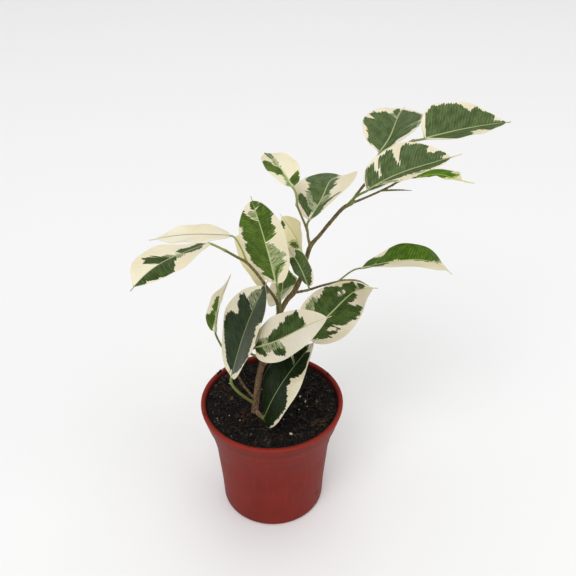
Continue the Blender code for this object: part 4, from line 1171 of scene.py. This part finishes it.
def make_soil():
    rng = np.random.default_rng(SEED)
    verts, faces, tint = [], [], []

    def add(points, loops, shade, damp=0.0, dry=0.0):
        start = len(verts)
        verts.extend(points)
        faces.extend(tuple(start + k for k in loop) for loop in loops)
        tint.extend([(shade, damp, dry)] * len(points))

    add(*root_ball(), BALL_SHADE)

    bm = bmesh.new()
    bmesh.ops.create_icosphere(bm, subdivisions=2, radius=1.0)
    ball = np.array([v.co for v in bm.verts])
    shell = [tuple(v.index for v in f.verts) for f in bm.faces]
    bm.free()

    def crumb(x, y, size, shade, damp=0.0, lift=0.25, z=None, dry=0.0):
        """An angular crumb: a ball cut flat on several sides, stretched and turned."""
        shape = ball.copy()
        for way in unit(rng.normal(size=(5, 3))):
            reach = shape @ way
            shape = shape - way * np.maximum(reach - rng.uniform(0.45, 0.8), 0.0)[:, None]
        shape = shape * rng.uniform(0.6, 1.2, 3) * size
        turn = np.array(Euler(rng.uniform(0.0, 2 * math.pi, 3)).to_matrix())
        height = soil_height(x, y) + lift * size if z is None else z
        add((shape @ turn.T + (x, y, height)).tolist(), shell, shade, damp, dry)

    def spread(share, margin):
        reach = min(SOIL_RADIUS * share * math.sqrt(rng.random()), SOIL_RADIUS - margin)
        a = rng.uniform(0.0, 2 * math.pi)
        return reach * math.cos(a), reach * math.sin(a)

    for _ in range(CLODS):
        size = rng.uniform(0.7, 1.4)
        place = spread(0.97, 0.3 + size)
        crumb(*place, size, PEAT_SHADE, rng.random() ** 2, 0.0, dry=0.3 * rng.random() ** 3)
    for _ in range(CRUMBS):
        size = 0.22 + 0.8 * rng.random() ** 3
        shade = PEAT_SHADE if rng.random() < 0.90 else rng.uniform(0.15, 0.35)
        dry = rng.random() ** (4 if size < 0.5 else 12)
        crumb(*spread(0.985, 0.25 + 0.6 * size), size, shade, rng.random() ** 2, 0.45, dry=dry)
    for x, y, size in PERLITE:
        crumb(x, y, size, PERLITE_SHADE, lift=0.9)
    for _ in range(GRAINS):
        crumb(*spread(0.95, 1.0), rng.uniform(0.12, 0.24), PERLITE_SHADE, lift=1.5)
    for x, y, size in BROWN_BITS:
        crumb(x, y, size, BIT_SHADE, lift=0.7)
    for degrees, size, shade in LIP_CRUMBS:
        turn = math.radians(degrees)
        crumb(LIP_MIDDLE * math.cos(turn), LIP_MIDDLE * math.sin(turn), size, shade,
              z=POT_HEIGHT + 0.5 * size)

    for k in range(FIBRES + CLUMP_FIBRES):
        x, y = spread(0.9, 1.0)
        span = rng.uniform(2.0, 6.5)
        shade = RUSTY_SHADE if rng.random() < 0.25 else rng.choice((0.2, 0.36))
        if k >= FIBRES:
            x = FIBRE_CLUMP[0] + FIBRE_CLUMP[2] * rng.uniform(-1.0, 0.6)
            y = FIBRE_CLUMP[1] + 0.4 * FIBRE_CLUMP[2] * rng.uniform(-1.0, 1.0)
            shade = RUSTY_SHADE
        heading = rng.uniform(0.0, 2 * math.pi) if k < FIBRES else rng.uniform(-0.4, 0.5)
        line = []
        for s in range(FIBRE_STEPS + 1):
            x += math.cos(heading) * span / FIBRE_STEPS
            y += math.sin(heading) * span / FIBRE_STEPS
            heading += rng.uniform(-0.4, 0.4)
            if math.hypot(x, y) > SOIL_RADIUS - 0.5:
                break
            bow = FIBRE_BOW * math.sin(math.pi * s / FIBRE_STEPS)
            line.append((x, y, soil_height(x, y) + FIBRE_LIFT + bow))
        if len(line) < 4:
            continue
        line = smooth_route(line, 2)
        thin = rng.uniform(0.05, 0.12) * np.linspace(1.0, 0.4, len(line))[:, None]
        rings = tube_rings(line, thin, np.array((0.0, 0.0, 1.0)), FIBRE_SIDES)
        add(rings.reshape(-1, 3).tolist(), grid_faces(len(line), FIBRE_SIDES), shade)

    soil = mesh_object("soil_peat", verts, faces, soil_material(), (("crumb", tint),))
    soil.data.set_sharp_from_angle(angle=math.radians(CRUMB_SHARP_ANGLE))
    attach(soil, "root")
    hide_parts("soil")


# Stage

FLOOR_TONE = (0.965, 0.965, 0.965)
FLOOR_DROP = 0.2
WORLD_STRENGTH = 0.5

# Soft lights, in metres: name, place, size and power. All aim at the middle of the plant.
LIGHT_AIM = (0.01, 0.0, 0.10)
LIGHTS = (
    ("key", (-0.6, -1.5, 2.3), 1.5, 30.0),
    ("fill", (1.8, -1.0, 1.4), 1.8, 9.0),
    ("top", (0.15, 0.75, 2.4), 1.8, 11.0),
)


def make_stage():
    bm = bmesh.new()
    bmesh.ops.create_grid(bm, x_segments=1, y_segments=1, size=3.0)
    floor = bmesh_object("floor", bm, Nodes("floor").finish(FLOOR_TONE, 0.9))
    floor.location = (0.0, 0.0, -FLOOR_DROP * MM)


def make_light():
    world = bpy.data.worlds.new("studio")
    world.use_nodes = True
    background = world.node_tree.nodes["Background"]
    background.inputs[0].default_value = (1.0, 1.0, 1.0, 1.0)
    background.inputs[1].default_value = WORLD_STRENGTH
    bpy.context.scene.world = world
    bpy.context.scene.view_settings.view_transform = "Standard"
    for name, place, size, power in LIGHTS:
        light = bpy.data.lights.new(name, "AREA")
        light.energy = power
        light.size = size
        obj = placed(name, light)
        obj.location = place
        obj.rotation_euler = (Vector(LIGHT_AIM) - Vector(place)).to_track_quat("-Z", "Y").to_euler()


def make_camera():
    data = bpy.data.cameras.new("camera")
    data.lens = CAMERA_LENS
    camera = placed("camera", data)
    camera.location = Vector(CAMERA_PLACE) * MM
    camera.rotation_euler = [math.radians(a) for a in CAMERA_TURN]
    bpy.context.scene.camera = camera


make_camera()
make_light()
make_stage()
make_pot()
make_soil()
make_stem()
make_leaves()

bpy.context.view_layer.update()
